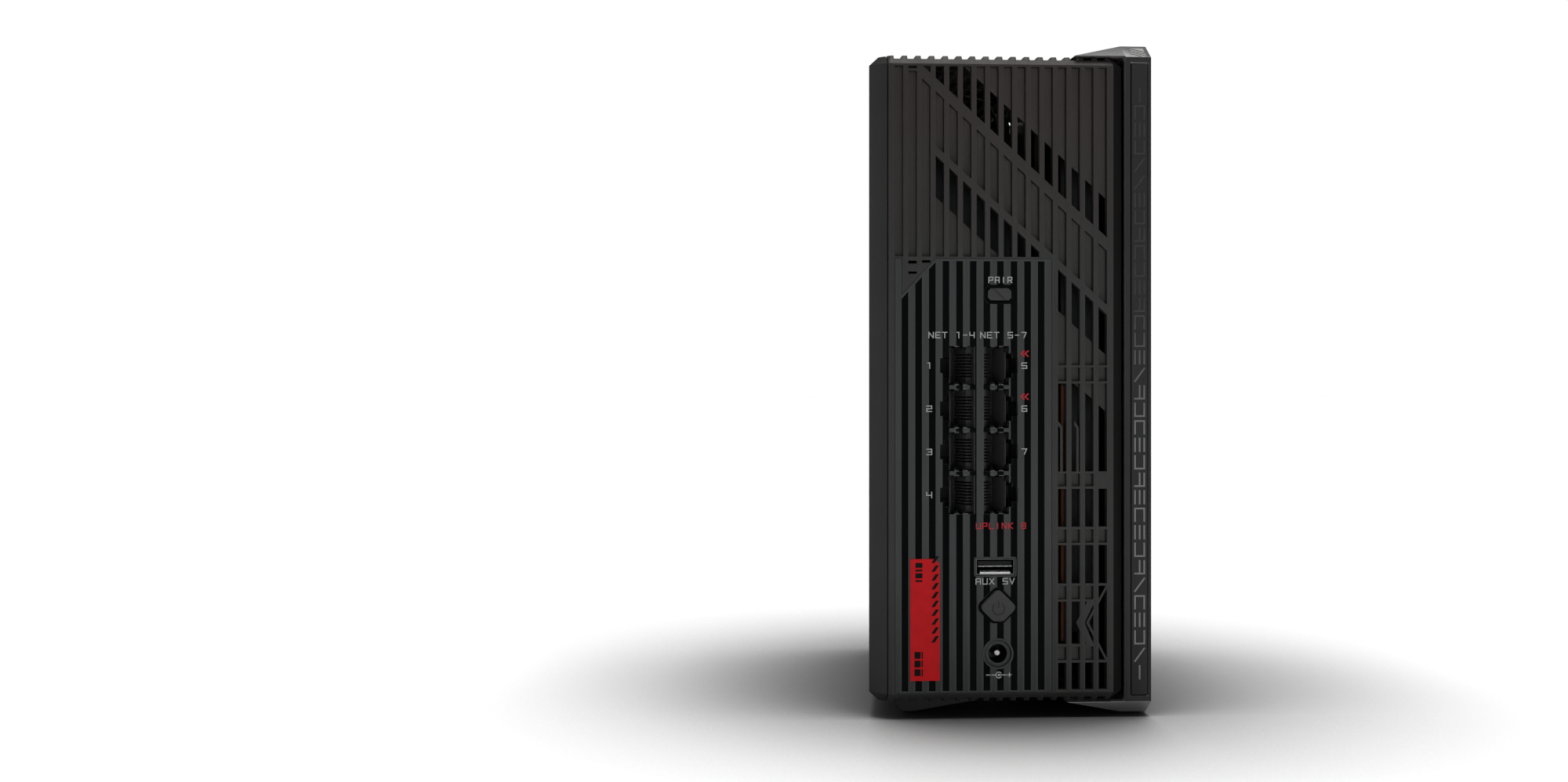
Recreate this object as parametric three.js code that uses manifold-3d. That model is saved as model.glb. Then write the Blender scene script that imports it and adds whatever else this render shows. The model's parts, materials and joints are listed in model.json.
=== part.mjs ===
// Tower wireless router: ribbed rear face with network sockets, side fin, feet and the parts inside.
// Millimetres. +Z is up, the socket face looks along -Y and +X is to the right of that face.
// The origin is at the centre of the footprint, on the surface that the router stands on.

import * as THREE from 'three';
import { mergeVertices } from 'three/addons/utils/BufferGeometryUtils.js';
import Module from 'manifold-3d';

const wasm = await Module();
wasm.setup();

// ---------------------------------------------------------------- driving dimensions

const LEFT = -46;
const RIGHT = 46;
const FRONT = 75;
const REAR = -73; // plane of the socket face; the power button stands 2 mm proud of it
const GROUND_GAP = 0.4; // plastic parts stop this far above the ground, the rubber pads reach it
const TOP = 220;

const BODY_LOW = 5.3;
const BODY_TOP = 215.4;
const BODY_LEFT_EDGE = -40.33; // where the rear face meets the left bevel
const BODY_RIGHT_EDGE = 33.4; // where the rear face ends and the dark channel begins
const BODY_SIDE = 36.9; // right side of the body, behind the fin
const LEFT_BEVEL = 5.7;
const TAPER = 19.5; // the left side leans in by this much from the rear bevel to the front one
const CHANNEL_DEPTH = 3.5; // recess of the dark strip between the rear face and the fin
const CHAMFER = 3;
const WALL = 2.4;
const GAP = 0.3;
const LIP = 7; // how far the rear and front panels turn over the top and bottom

const RIB_PITCH = 4.455;
const SLOT_WIDTH = 2.78;
const SLOT_START = -33.85; // left edge of slot 0
const SLOT_TOP = 211.7;
const SLOT_DEPTH = 2.7;
const REAR_WALL = 3.7; // the ribbed wall is thicker than the rest of the shell
const LAST_SLOT = 14;
const BAND_DROP = 4.08; // fall of the slanted bands from one slot to the next
const SLANT_FALL = (BAND_DROP * SLOT_WIDTH) / RIB_PITCH; // and their fall across one slot

const PANEL_LEFT = -38.14;
const PANEL_RIGHT = 12.97;
const PANEL_LOW = 8.6;
const PANEL_TOP = 149.3;
const PANEL_FLANGE = -36.05; // right edge of the narrow strip on the panel's left
const PANEL_SLANT_LOW = 137.4;
const PANEL_SLANT_END = -25;
const PANEL_THICKNESS = 2.2;
const GROOVE_WIDTH = 2.2;
const GROOVE_DEPTH = 0.35;
const GROOVES = 11;
const BEZEL_PROUD = 0.3;

const JACK_PITCH = 13.97;
const JACK_TOP_ROW = 114.6; // height of the middle of the top pair of sockets
const JACK_ROWS = 4;
const JACK_DEPTH = 13.5;
const CONTACT_PITCH = 1.016;

const PAIRING = { x: -4.13, z: 137.7, travel: 0.8, proud: 0.7, stemEnd: -66.2 };
const USB = { x: -5.49, z: 49.3, width: 13.85, height: 6.4, rim: 0.4, corner: 0.7 };
const POWER = { x: -4.74, z: 36.3, travel: 1.5, proud: 2, stemEnd: -66.6 };
const INLET = { x: -4.59, z: 21.1, bezel: 5.05, face: 4.33, bore: 3.03 };

const FIN_LEFT = 37.4;
const FIN_END = { low: 5, high: 215.3, slant: 7 };
const FIN_GROOVE = { left: 39.2, right: 44.9, depth: 1.7, end: 2, slack: 0.25 };

const BOARD = { left: 5, right: 6.6, rear: -69, front: 50, low: 12, high: 200 };

const FAR = 300; // reaches past the object on every side
const PAST_REAR = REAR - 5;
const SIDES = { bore: 24, pin: 16, screw: 12 }; // flat sides of a round piece
const MERGE_DISTANCE = 1e-4;

// ---------------------------------------------------------------- geometry helpers

function solid(geometry) {
  const bare = geometry.clone();
  bare.deleteAttribute('normal');
  bare.deleteAttribute('uv');
  const merged = mergeVertices(bare, MERGE_DISTANCE);
  const mesh = new wasm.Mesh({
    numProp: 3,
    vertProperties: new Float32Array(merged.attributes.position.array),
    triVerts: new Uint32Array(merged.index.array),
  });
  return new wasm.Manifold(mesh);
}

function geometryOf(body) {
  const { vertProperties, triVerts } = body.getMesh();
  const geometry = new THREE.BufferGeometry();
  geometry.setAttribute('position', new THREE.BufferAttribute(new Float32Array(vertProperties), 3));
  geometry.setIndex(new THREE.BufferAttribute(new Uint32Array(triVerts), 1));
  geometry.computeVertexNormals();
  return geometry;
}

function join(...bodies) {
  return bodies.flat().reduce((all, body) => all.add(body));
}

function cut(body, ...tools) {
  return body.subtract(join(...tools));
}

function box(x0, x1, y0, y1, z0, z1) {
  const geometry = new THREE.BoxGeometry(x1 - x0, y1 - y0, z1 - z0);
  geometry.translate((x0 + x1) / 2, (y0 + y1) / 2, (z0 + z1) / 2);
  return solid(geometry);
}

function outline(points) {
  return new THREE.Shape(points.map(([a, b]) => new THREE.Vector2(a, b)));
}

function extrude(points, depth) {
  return new THREE.ExtrudeGeometry(outline(points), { depth, bevelEnabled: false, curveSegments: 1 });
}

// Outline in X and Z, running from y0 to y1.
function prismY(points, y0, y1) {
  const geometry = extrude(points, y1 - y0);
  geometry.rotateX(Math.PI / 2);
  geometry.translate(0, y1, 0);
  return solid(geometry);
}

// Outline in Y and Z, running from x0 to x1.
function prismX(points, x0, x1) {
  const geometry = extrude(points, x1 - x0);
  geometry.applyMatrix4(new THREE.Matrix4().set(0, 0, 1, x0, 1, 0, 0, 0, 0, 1, 0, 0, 0, 0, 0, 1));
  return solid(geometry);
}

// Outline in X and Y, running from z0 to z1.
function prismZ(points, z0, z1) {
  const geometry = extrude(points, z1 - z0);
  geometry.translate(0, 0, z0);
  return solid(geometry);
}

// Rod along Y about (x, z).
function rodY(x, z, radius, y0, y1, sides = SIDES.bore) {
  const geometry = new THREE.CylinderGeometry(radius, radius, y1 - y0, sides);
  geometry.translate(x, (y0 + y1) / 2, z);
  return solid(geometry);
}

// Rod along X about (y, z).
function rodX(y, z, radius, x0, x1, sides = SIDES.pin) {
  const geometry = new THREE.CylinderGeometry(radius, radius, x1 - x0, sides);
  geometry.rotateZ(Math.PI / 2);
  geometry.translate((x0 + x1) / 2, y, z);
  return solid(geometry);
}

// Moves every edge of a counter-clockwise outline inwards by the given distance.
function inset(points, distance) {
  const edges = points.map((point, i) => {
    const next = points[(i + 1) % points.length];
    const along = new THREE.Vector2(next[0] - point[0], next[1] - point[1]).normalize();
    return { x: point[0] - along.y * distance, y: point[1] + along.x * distance, along };
  });
  return edges.map((edge, i) => {
    const last = edges[(i + edges.length - 1) % edges.length];
    const turn = last.along.x * edge.along.y - last.along.y * edge.along.x;
    const step = ((edge.x - last.x) * edge.along.y - (edge.y - last.y) * edge.along.x) / turn;
    return [last.x + last.along.x * step, last.y + last.along.y * step];
  });
}

// Rounds every corner of an outline with an arc of the given radius.
function rounded(points, radius, steps = 4) {
  return points.flatMap((point, i) => {
    const corner = new THREE.Vector2(...point);
    const last = points[(i + points.length - 1) % points.length];
    const next = points[(i + 1) % points.length];
    const before = new THREE.Vector2(...last).sub(corner).normalize();
    const after = new THREE.Vector2(...next).sub(corner).normalize();
    const half = Math.acos(before.dot(after)) / 2;
    const centre = before.clone().add(after).normalize().multiplyScalar(radius / Math.sin(half)).add(corner);
    const start = corner.clone().addScaledVector(before, radius / Math.tan(half));
    const end = corner.clone().addScaledVector(after, radius / Math.tan(half));
    const from = Math.atan2(start.y - centre.y, start.x - centre.x);
    const to = Math.atan2(end.y - centre.y, end.x - centre.x);
    const sweep = Math.atan2(Math.sin(to - from), Math.cos(to - from));
    return Array.from({ length: steps + 1 }, (_, k) => {
      const angle = from + (sweep * k) / steps;
      return [centre.x + radius * Math.cos(angle), centre.y + radius * Math.sin(angle)];
    });
  });
}

// Closed convex body through rings of points that all have the same count.
function loft(rings) {
  const count = rings[0].length;
  const index = [];
  for (let ring = 0; ring + 1 < rings.length; ring += 1) {
    for (let i = 0; i < count; i += 1) {
      const a = ring * count + i;
      const b = ring * count + ((i + 1) % count);
      index.push(a, b, b + count, a, b + count, a + count);
    }
  }
  const lid = (rings.length - 1) * count;
  for (let i = 1; i + 1 < count; i += 1) {
    index.push(0, i + 1, i);
    index.push(lid, lid + i, lid + i + 1);
  }
  const geometry = new THREE.BufferGeometry();
  geometry.setAttribute('position', new THREE.Float32BufferAttribute(rings.flat(2), 3));
  geometry.setIndex(index);
  return solid(geometry);
}

// Upright block over an outline in X and Y, with its top and bottom edges chamfered.
function chamferedBlock(points, z0, z1, chamfer) {
  const small = inset(points, chamfer);
  const ring = (list, z) => list.map(([x, y]) => [x, y, z]);
  return loft([ring(small, z0), ring(points, z0 + chamfer), ring(points, z1 - chamfer), ring(small, z1)]);
}

function rectangle(x, z, width, height) {
  return [
    [x - width / 2, z - height / 2],
    [x + width / 2, z - height / 2],
    [x + width / 2, z + height / 2],
    [x - width / 2, z + height / 2],
  ];
}

// ---------------------------------------------------------------- materials and the assembly

const router = new THREE.Group();

function finish(color, roughness, metalness) {
  return { color, roughness, metalness };
}

const CASE = finish(0x3b3a39, 0.62, 0);
const SIDE = finish(0x3c3e42, 0.55, 0);
const CHANNEL = finish(0x171718, 0.6, 0);
const PORT_RIBS = finish(0x404241, 0.55, 0);
const GLOSS_BLACK = finish(0x0b0c0d, 0.2, 0);
const RUBBER = finish(0x141414, 0.9, 0);
const STEEL = finish(0x9a9c9d, 0.35, 1);
const ALUMINIUM = finish(0x77797b, 0.45, 1);
const COPPER = finish(0x8a5640, 0.4, 1);
const GOLD = finish(0xc9a24c, 0.3, 1);
const CIRCUIT = finish(0x14261c, 0.5, 0);
const LABEL_RED = finish(0x9b1b20, 0.45, 0);
const DIFFUSER = finish(0xd8dade, 0.4, 0);

function addPiece(name, body, look) {
  const mesh = new THREE.Mesh(geometryOf(body), new THREE.MeshStandardMaterial(look));
  mesh.name = name;
  router.add(mesh);
}

// ---------------------------------------------------------------- body shell

const bodyOutline = [
  [BODY_LEFT_EDGE, REAR],
  [BODY_RIGHT_EDGE, REAR],
  [BODY_SIDE, REAR + CHANNEL_DEPTH],
  [BODY_SIDE, FRONT - CHANNEL_DEPTH],
  [BODY_RIGHT_EDGE, FRONT],
  [BODY_LEFT_EDGE + TAPER, FRONT],
  [LEFT + TAPER, FRONT - LEFT_BEVEL],
  [LEFT, REAR + LEFT_BEVEL],
];
const LEAN = TAPER / (FRONT - REAR - 2 * LEFT_BEVEL);
const innerChamfer = CHAMFER - WALL * (2 - Math.SQRT2);
const bodyShell = cut(
  chamferedBlock(bodyOutline, BODY_LOW, BODY_TOP, CHAMFER),
  chamferedBlock(inset(bodyOutline, WALL), BODY_LOW + WALL, BODY_TOP - WALL, innerChamfer),
);

function shellPart(x0, x1, y0, y1, z0, z1) {
  return bodyShell.intersect(box(x0, x1, y0, y1, z0, z1));
}

function slotLeft(k) {
  return SLOT_START + RIB_PITCH * k;
}

// Grooves between the teeth on the top and bottom faces, in line with the slots of the rear face.
const TOOTH_HEIGHT = 1.2;
const toothGrooves = [];
for (let k = -1; k <= LAST_SLOT; k += 1) {
  const x = slotLeft(k);
  toothGrooves.push(box(x, x + SLOT_WIDTH, -FAR, FAR, BODY_TOP - TOOTH_HEIGHT, FAR));
  toothGrooves.push(box(x, x + SLOT_WIDTH, -FAR, FAR, -FAR, BODY_LOW + TOOTH_HEIGHT));
}

// Everything to the left of the slanted seam between the left cover and the plates beside it.
function leftOfSeam(offset) {
  const rear = BODY_LEFT_EDGE + offset;
  const front = rear + TAPER;
  const seam = [[rear, -FAR], [rear, REAR + LEFT_BEVEL], [front, FRONT - LEFT_BEVEL], [front, FAR]];
  return prismZ([[-FAR, -FAR], ...seam, [-FAR, FAR]], -FAR, FAR);
}

// Shallow grooves that run down both sides, as steep as the slanted bands of the rear face.
const SIDE_GROOVE = { width: 1.8, depth: 0.7, reach: 60, starts: [196, 186] };

function sideGrooves(x0, x1) {
  const steepness = BAND_DROP / RIB_PITCH;
  const { width, reach, starts } = SIDE_GROOVE;
  const fall = (y) => steepness * (y - REAR);
  return starts.map((start) => {
    const top = (y) => [y, start - fall(y)];
    const bottom = (y) => [y, start - fall(y) - width];
    return prismX([bottom(-reach), bottom(reach), top(reach), top(-reach)], x0, x1);
  });
}

// Shears a body to the same lean as the left side; it stays where it is at the rear end of that side.
function leaning(body) {
  const start = REAR + LEFT_BEVEL;
  const shear = new THREE.Matrix4().set(1, LEAN, 0, -LEAN * start, 0, 1, 0, 0, 0, 0, 1, 0, 0, 0, 0, 1);
  return solid(geometryOf(body).applyMatrix4(shear));
}

const seamArea = leftOfSeam(0);
const leftGrooves = sideGrooves(-FAR, LEFT + SIDE_GROOVE.depth).map(leaning);
addPiece('left_side_cover', cut(bodyShell.intersect(leftOfSeam(-GAP)), leftGrooves), SIDE);
const channelY = [REAR + CHANNEL_DEPTH, FRONT - CHANNEL_DEPTH];
addPiece('channel_wall', shellPart(BODY_RIGHT_EDGE + GAP, FAR, ...channelY, -FAR, FAR), CHANNEL);

// Vents through the top and bottom plates, two in each groove.
const VENT = { width: 1.8, near: 6, far: 56, margin: 2 };

function ventedPlate(z0, z1) {
  const y = REAR + LIP + GAP;
  const vents = [];
  for (let k = 1; k <= LAST_SLOT; k += 1) {
    const x = slotLeft(k) + (SLOT_WIDTH - VENT.width) / 2;
    const seamY = REAR + LEFT_BEVEL + (x - VENT.margin - BODY_LEFT_EDGE) / LEAN;
    const far = Math.min(VENT.far, seamY);
    if (far > VENT.near + VENT.margin) {
      vents.push(box(x, x + VENT.width, VENT.near, far, z0, z1));
    }
    vents.push(box(x, x + VENT.width, -VENT.far, Math.min(-VENT.near, seamY), z0, z1));
  }
  const plate = shellPart(BODY_LEFT_EDGE, BODY_RIGHT_EDGE, y, FRONT - LIP - GAP, z0, z1);
  return cut(plate, toothGrooves, vents, seamArea);
}

const MIDDLE = (BODY_LOW + BODY_TOP) / 2;
addPiece('top_grille', ventedPlate(MIDDLE, FAR), CASE);
addPiece('base_tray', ventedPlate(-FAR, MIDDLE), CASE);

// ---------------------------------------------------------------- front cover and its lights

const LIGHT_BAR = { x: (BODY_LEFT_EDGE + TAPER + BODY_RIGHT_EDGE) / 2, half: 3, low: 42, high: 176 };
const STATUS = { z: 28, radius: 1.4, length: 15 };
const FRONT_SLOTS = { low: 16, high: 205, depth: 0.9, clear: 8, margin: 1 };
const LIGHT_FLANGE = { half: 6, reach: 4, thickness: 2.2 };

function frontSlots() {
  const slots = [];
  for (let k = 0; k <= LAST_SLOT; k += 1) {
    const x = slotLeft(k);
    const onFront = x > BODY_LEFT_EDGE + TAPER + FRONT_SLOTS.margin;
    const besideLight = Math.abs(x + SLOT_WIDTH / 2 - LIGHT_BAR.x) > FRONT_SLOTS.clear;
    if (onFront && besideLight) {
      slots.push(box(x, x + SLOT_WIDTH, FRONT - FRONT_SLOTS.depth, FAR, FRONT_SLOTS.low, FRONT_SLOTS.high));
    }
  }
  return slots;
}

function lightWindow(slack, y0, y1) {
  const half = LIGHT_BAR.half - slack;
  return box(LIGHT_BAR.x - half, LIGHT_BAR.x + half, y0, y1, LIGHT_BAR.low + slack, LIGHT_BAR.high - slack);
}

const frontShell = shellPart(-FAR, BODY_RIGHT_EDGE, FRONT - LIP, FAR, -FAR, FAR);
const statusHole = rodY(LIGHT_BAR.x, STATUS.z, STATUS.radius, 0, FAR);
addPiece(
  'front_cover',
  cut(frontShell, seamArea, toothGrooves, frontSlots(), lightWindow(0, 0, FAR), statusHole),
  CASE,
);
const flangeFront = FRONT - WALL - GAP;
const lightFlange = box(
  LIGHT_BAR.x - LIGHT_FLANGE.half,
  LIGHT_BAR.x + LIGHT_FLANGE.half,
  flangeFront - LIGHT_FLANGE.thickness,
  flangeFront,
  LIGHT_BAR.low - LIGHT_FLANGE.reach,
  LIGHT_BAR.high + LIGHT_FLANGE.reach,
);
addPiece('front_light_guide', join(lightWindow(GAP, flangeFront - GAP, FRONT), lightFlange), DIFFUSER);
const pipeRadius = STATUS.radius - GAP / 2;
const pipe = rodY(LIGHT_BAR.x, STATUS.z, pipeRadius, FRONT - STATUS.length, FRONT, SIDES.pin);
addPiece('status_light_pipe', pipe, DIFFUSER);

// ---------------------------------------------------------------- rear grille

// Slanted-ended length of one slot, from z0 to z1 at its left edge.
function slantedSlot(k, z0, z1, y0, y1) {
  const x0 = slotLeft(k);
  const x1 = x0 + SLOT_WIDTH;
  return prismY([[x0, z0], [x1, z0 - SLANT_FALL], [x1, z1 - SLANT_FALL], [x0, z1]], y0, y1);
}

function slotBox(k, z0, z1, y0, y1) {
  const x0 = slotLeft(k);
  return box(x0, x0 + SLOT_WIDTH, y0, y1, z0, z1);
}

const FLOOR = REAR + SLOT_DEPTH;
const BACK = REAR + REAR_WALL + 1;
const UPPER_BAND = { high: 225.02, low: 211.92, bar: 4.25 }; // heights at slot 1
const LOWER_BAND = { high: 186.83, low: 173.88, bar: 3.15 };
const WEDGE_FLOOR = 149.9; // the recessed floors over the socket panel end here
const COLUMN_TOP = 114.7; // and here beside it
const EDGE_BREAK = { low: 210, high: 210.8 }; // short bar near the top of slot 0
const CORNER_SLITS = [[0, 147.6, 148.6], [0, 144.3, 145.1], [1, 147.9, 148.8]];
const FIRST_BAND_SLOT = 2;
const FIRST_COLUMN_SLOT = 11;

// Heights of one slanted band where it crosses slot k.
function bandAt(band, k) {
  const drop = BAND_DROP * (k - 1);
  return { high: band.high - drop, low: band.low - drop };
}

function upperSlotCuts(k) {
  const end = k >= FIRST_COLUMN_SLOT ? COLUMN_TOP : WEDGE_FLOOR;
  const above = box(-FAR, FAR, -FAR, 0, end, SLOT_TOP);
  const upper = bandAt(UPPER_BAND, k);
  const lower = bandAt(LOWER_BAND, k);
  const cuts = [
    slantedSlot(k, upper.low, FAR, PAST_REAR, FLOOR),
    slantedSlot(k, lower.high + LOWER_BAND.bar, upper.low - UPPER_BAND.bar, PAST_REAR, FLOOR),
    slantedSlot(k, upper.low, upper.high, PAST_REAR, BACK),
  ];
  if (lower.high > end) {
    cuts.push(slantedSlot(k, lower.low, lower.high, PAST_REAR, BACK));
    cuts.push(slantedSlot(k, -FAR, lower.high, PAST_REAR, FLOOR));
  }
  return join(cuts).intersect(above);
}

// The three slots at the left have floors only, and three slits beside the panel's slanted corner.
function plainSlotCuts() {
  const above = box(-FAR, FAR, -FAR, 0, WEDGE_FLOOR, SLOT_TOP);
  return [
    slotBox(-1, WEDGE_FLOOR, SLOT_TOP, PAST_REAR, FLOOR),
    slotBox(0, EDGE_BREAK.high, SLOT_TOP, PAST_REAR, FLOOR),
    slotBox(0, WEDGE_FLOOR, EDGE_BREAK.low, PAST_REAR, FLOOR),
    slantedSlot(1, UPPER_BAND.low, FAR, PAST_REAR, FLOOR).intersect(above),
    slantedSlot(1, -FAR, UPPER_BAND.low - UPPER_BAND.bar, PAST_REAR, FLOOR).intersect(above),
    ...CORNER_SLITS.map(([k, z0, z1]) => slotBox(k, z0, z1, PAST_REAR, BACK)),
  ];
}

// Right-hand column: pairs of thin bars with a filled cell between them, and open lengths between the pairs.
const COLUMN_CELLS = [[109.5, 114], [75.3, 79.5], [56.9, 61.3], [38.5, 42.9], [18.7, 23.1]];
const COLUMN_OPENINGS = [[80.1, 108.8], [62.1, 74.5], [43.6, 56.2], [23.9, 37.8], [9.1, 17.9]];
const FIRST_OPENING_TOPS = [111.4, 110.1, 106.4, 102.3];
const FLUSH_CELL = 1; // this cell of the last slot isn't recessed
const OPEN_CELLS = [3, 4]; // the last slot stays open from one of these cells to the other

function columnCuts(k) {
  const last = k === LAST_SLOT;
  const recessed = COLUMN_CELLS.filter((_, i) => !last || i !== FLUSH_CELL);
  const cells = recessed.map(([z0, z1]) => slotBox(k, z0, z1, PAST_REAR, FLOOR));
  const [first, ...rest] = COLUMN_OPENINGS;
  const openings = rest.map(([z0, z1]) => slotBox(k, z0, z1, PAST_REAR, BACK));
  const slanted = slantedSlot(k, -FAR, FIRST_OPENING_TOPS[k - FIRST_COLUMN_SLOT], PAST_REAR, BACK);
  openings.push(slanted.intersect(box(-FAR, FAR, -FAR, 0, first[0], first[1])));
  if (last) {
    const [upper, lower] = OPEN_CELLS.map((i) => COLUMN_CELLS[i]);
    openings.push(slotBox(k, lower[0], upper[1], PAST_REAR, BACK));
  }
  return [...cells, ...openings, slotBox(k, first[0], first[1], PAST_REAR, FLOOR)];
}

// Thin strips that lie in the right-hand column: two uprights and two arrow shapes.
const TRIM_THICKNESS = 1.2;

function columnTrim() {
  const upright = (x) => [
    [x, 80], [x + 0.75, 80], [x + 0.75, 94.6], [x - 0.74, 96.6], [x - 0.74, 95.2], [x, 94.2],
  ];
  const thickArrow = [[21.2, 30.85], [24.7, 23.2], [27.2, 23.2], [23.8, 30.85], [27.5, 38.2], [25, 38.2]];
  const thinArrow = [[24.4, 30.9], [31.1, 18.1], [31.8, 18.1], [25.3, 30.9], [31.8, 43.1], [31.1, 43.1]];
  const strips = [upright(15.9), upright(21.2), thickArrow, thinArrow];
  return strips.map((points) => prismY(points, REAR, REAR + TRIM_THICKNESS));
}

const panelOutline = [
  [PANEL_LEFT, PANEL_LOW],
  [PANEL_RIGHT, PANEL_LOW],
  [PANEL_RIGHT, PANEL_TOP],
  [PANEL_SLANT_END, PANEL_TOP],
  [PANEL_FLANGE, PANEL_SLANT_LOW],
  [PANEL_FLANGE, PANEL_TOP],
  [PANEL_LEFT, PANEL_TOP],
];

const rearCuts = [...plainSlotCuts()];
for (let k = FIRST_BAND_SLOT; k <= LAST_SLOT; k += 1) {
  rearCuts.push(upperSlotCuts(k));
  if (k >= FIRST_COLUMN_SLOT) {
    rearCuts.push(...columnCuts(k));
  }
}
const rearX = [BODY_LEFT_EDGE, BODY_RIGHT_EDGE];
const rearShell = join(
  shellPart(...rearX, -FAR, REAR + LIP, -FAR, FAR),
  box(...rearX, REAR + WALL / 2, REAR + REAR_WALL, BODY_LOW + CHAMFER, BODY_TOP - CHAMFER),
);
const panelHole = prismY(inset(panelOutline, -GAP / 2), PAST_REAR, BACK);
const rearGrille = join(cut(rearShell, toothGrooves, rearCuts, panelHole), columnTrim());
addPiece('rear_grille', rearGrille, CASE);

// ---------------------------------------------------------------- socket panel

const jackRows = Array.from({ length: JACK_ROWS }, (_, i) => JACK_TOP_ROW - JACK_PITCH * i);
const LEFT_JACK = { inner: -12.01, main: -20.51, step: -22.07, notch: -23.51 };
const RIGHT_JACK = { inner: -9.31, main: -0.94, step: 0.3, notch: 1.97 };
const JACK_HALF = { main: 6.35, step: 4, notch: 2.4 };

// Socket mouth with its stepped latch notch, as an outline in X and Z.
function jackMouth(jack, z) {
  const upper = [
    [jack.inner, z + JACK_HALF.main],
    [jack.main, z + JACK_HALF.main],
    [jack.main, z + JACK_HALF.step],
    [jack.step, z + JACK_HALF.step],
    [jack.step, z + JACK_HALF.notch],
    [jack.notch, z + JACK_HALF.notch],
  ];
  const lower = upper.map(([x, height]) => [x, 2 * z - height]).reverse();
  return [...upper, ...lower];
}

const jackMouths = jackRows.flatMap((z) => [jackMouth(LEFT_JACK, z), jackMouth(RIGHT_JACK, z)]);

// Square standing on its corner, with the bottom corner cut flat.
function diamond(half, flat, radius) {
  const low = -half + flat;
  const points = [
    [POWER.x + half, POWER.z],
    [POWER.x, POWER.z + half],
    [POWER.x - half, POWER.z],
    [POWER.x - flat, POWER.z + low],
    [POWER.x + flat, POWER.z + low],
  ];
  return rounded(points, radius);
}

function octagon(centre, width, height, corner) {
  const x = width / 2;
  const z = height / 2;
  const points = [
    [x, -z + corner], [x, z - corner], [x - corner, z], [-x + corner, z],
    [-x, z - corner], [-x, -z + corner], [-x + corner, -z], [x - corner, -z],
  ];
  return points.map(([a, b]) => [centre.x + a, centre.z + b]);
}

const PANEL_RIM = 0.8;
const PANEL_SLOPE = (PANEL_TOP - PANEL_SLANT_LOW) / (PANEL_SLANT_END - PANEL_FLANGE);
const panelBack = REAR + PANEL_THICKNESS;
const grooveRoof = inset(
  [
    [PANEL_FLANGE - PANEL_RIM, -FAR],
    [PANEL_RIGHT, -FAR],
    [PANEL_RIGHT, PANEL_TOP],
    [PANEL_SLANT_END, PANEL_TOP],
    [PANEL_FLANGE - PANEL_RIM, PANEL_SLANT_LOW - PANEL_SLOPE * PANEL_RIM],
  ],
  PANEL_RIM,
);
const GROOVE_LOW = PANEL_LOW + 0.5;

function panelGrooves() {
  const roof = prismY(grooveRoof, PAST_REAR, BACK);
  const grooves = [];
  for (let k = 0; k < GROOVES; k += 1) {
    const x = PANEL_FLANGE + RIB_PITCH * k;
    grooves.push(box(x, x + GROOVE_WIDTH, PAST_REAR, REAR + GROOVE_DEPTH, GROOVE_LOW, PANEL_TOP));
  }
  return join(grooves).intersect(roof);
}

// Outlines of the two buttons, their holes, bezels and flanges.
const PAIRING_SHAPE = {
  face: octagon(PAIRING, 7.7, 3.9, 0.9),
  hole: octagon(PAIRING, 8.3, 4.5, 1),
  flange: octagon(PAIRING, 9.6, 5.8, 1.2),
  bezel: octagon(PAIRING, 9.9, 6.2, 1.4),
};
const POWER_SHAPE = {
  face: diamond(6.2, 1.7, 1.7),
  hole: diamond(6.6, 1.8, 1.9),
  flange: diamond(7.4, 1.9, 1.9),
  bezel: diamond(7.3, 2, 2.2),
};

const usbOutline = rounded(rectangle(USB.x, USB.z, USB.width, USB.height), USB.corner, 3);
const usbHole = rectangle(USB.x, USB.z, USB.width - 2 * USB.rim, USB.height - 2 * USB.rim);
const bezelOutlines = [PAIRING_SHAPE.bezel, POWER_SHAPE.bezel, usbOutline];
const panelBezels = [
  ...bezelOutlines.map((points) => prismY(points, REAR - BEZEL_PROUD, panelBack)),
  rodY(INLET.x, INLET.z, INLET.bezel, REAR - BEZEL_PROUD, panelBack),
];
const holeOutlines = [PAIRING_SHAPE.hole, POWER_SHAPE.hole, usbHole, ...jackMouths];
const panelHoles = [
  ...holeOutlines.map((points) => prismY(points, PAST_REAR, BACK)),
  rodY(INLET.x, INLET.z, INLET.face + GAP / 2, PAST_REAR, BACK),
];
const ribbedPanel = cut(prismY(panelOutline, REAR, panelBack), panelGrooves());
addPiece('port_panel', cut(join(ribbedPanel, panelBezels), panelHoles), PORT_RIBS);

const LABEL = { left: -33.27, right: -23.63, low: 12.6, high: 52, corner: 1.6, rear: -73.3, front: -73.02 };
const labelOutline = [
  [LABEL.left, LABEL.low],
  [LABEL.right, LABEL.low],
  [LABEL.right, LABEL.high - LABEL.corner],
  [LABEL.right - LABEL.corner, LABEL.high],
  [LABEL.left, LABEL.high],
];
addPiece('red_label', prismY(labelOutline, LABEL.rear, LABEL.front), LABEL_RED);

// ---------------------------------------------------------------- network sockets

const jackFace = panelBack + GAP;
const JACK_BLOCK = { left: -24.6, right: 3.7, back: -48, wall: 0.7 };
const jackLow = jackRows[JACK_ROWS - 1] - JACK_PITCH / 2 - JACK_BLOCK.wall;
const jackHigh = jackRows[0] + JACK_PITCH / 2 + JACK_BLOCK.wall;
const SPINE = { rear: -59, front: -57.4, near: 0.6, far: 1.8, end: 1.5, slack: 0.2 };
const WIRE = { count: 8, rear: -69, near: 0.4, far: 1.6, thickness: 0.35, height: 0.44, root: 0.4 };

// Upright bar that carries the contact wires of one column. Side is 1 where the wires lean towards -X.
function combSpine(jack, side, slack) {
  const ends = [jack.inner - side * SPINE.far, jack.inner - side * SPINE.near].sort((a, b) => a - b);
  return box(
    ends[0] - slack,
    ends[1] + slack,
    SPINE.rear - slack,
    SPINE.front + slack,
    jackLow + SPINE.end - slack,
    jackHigh - SPINE.end + slack,
  );
}

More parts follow.
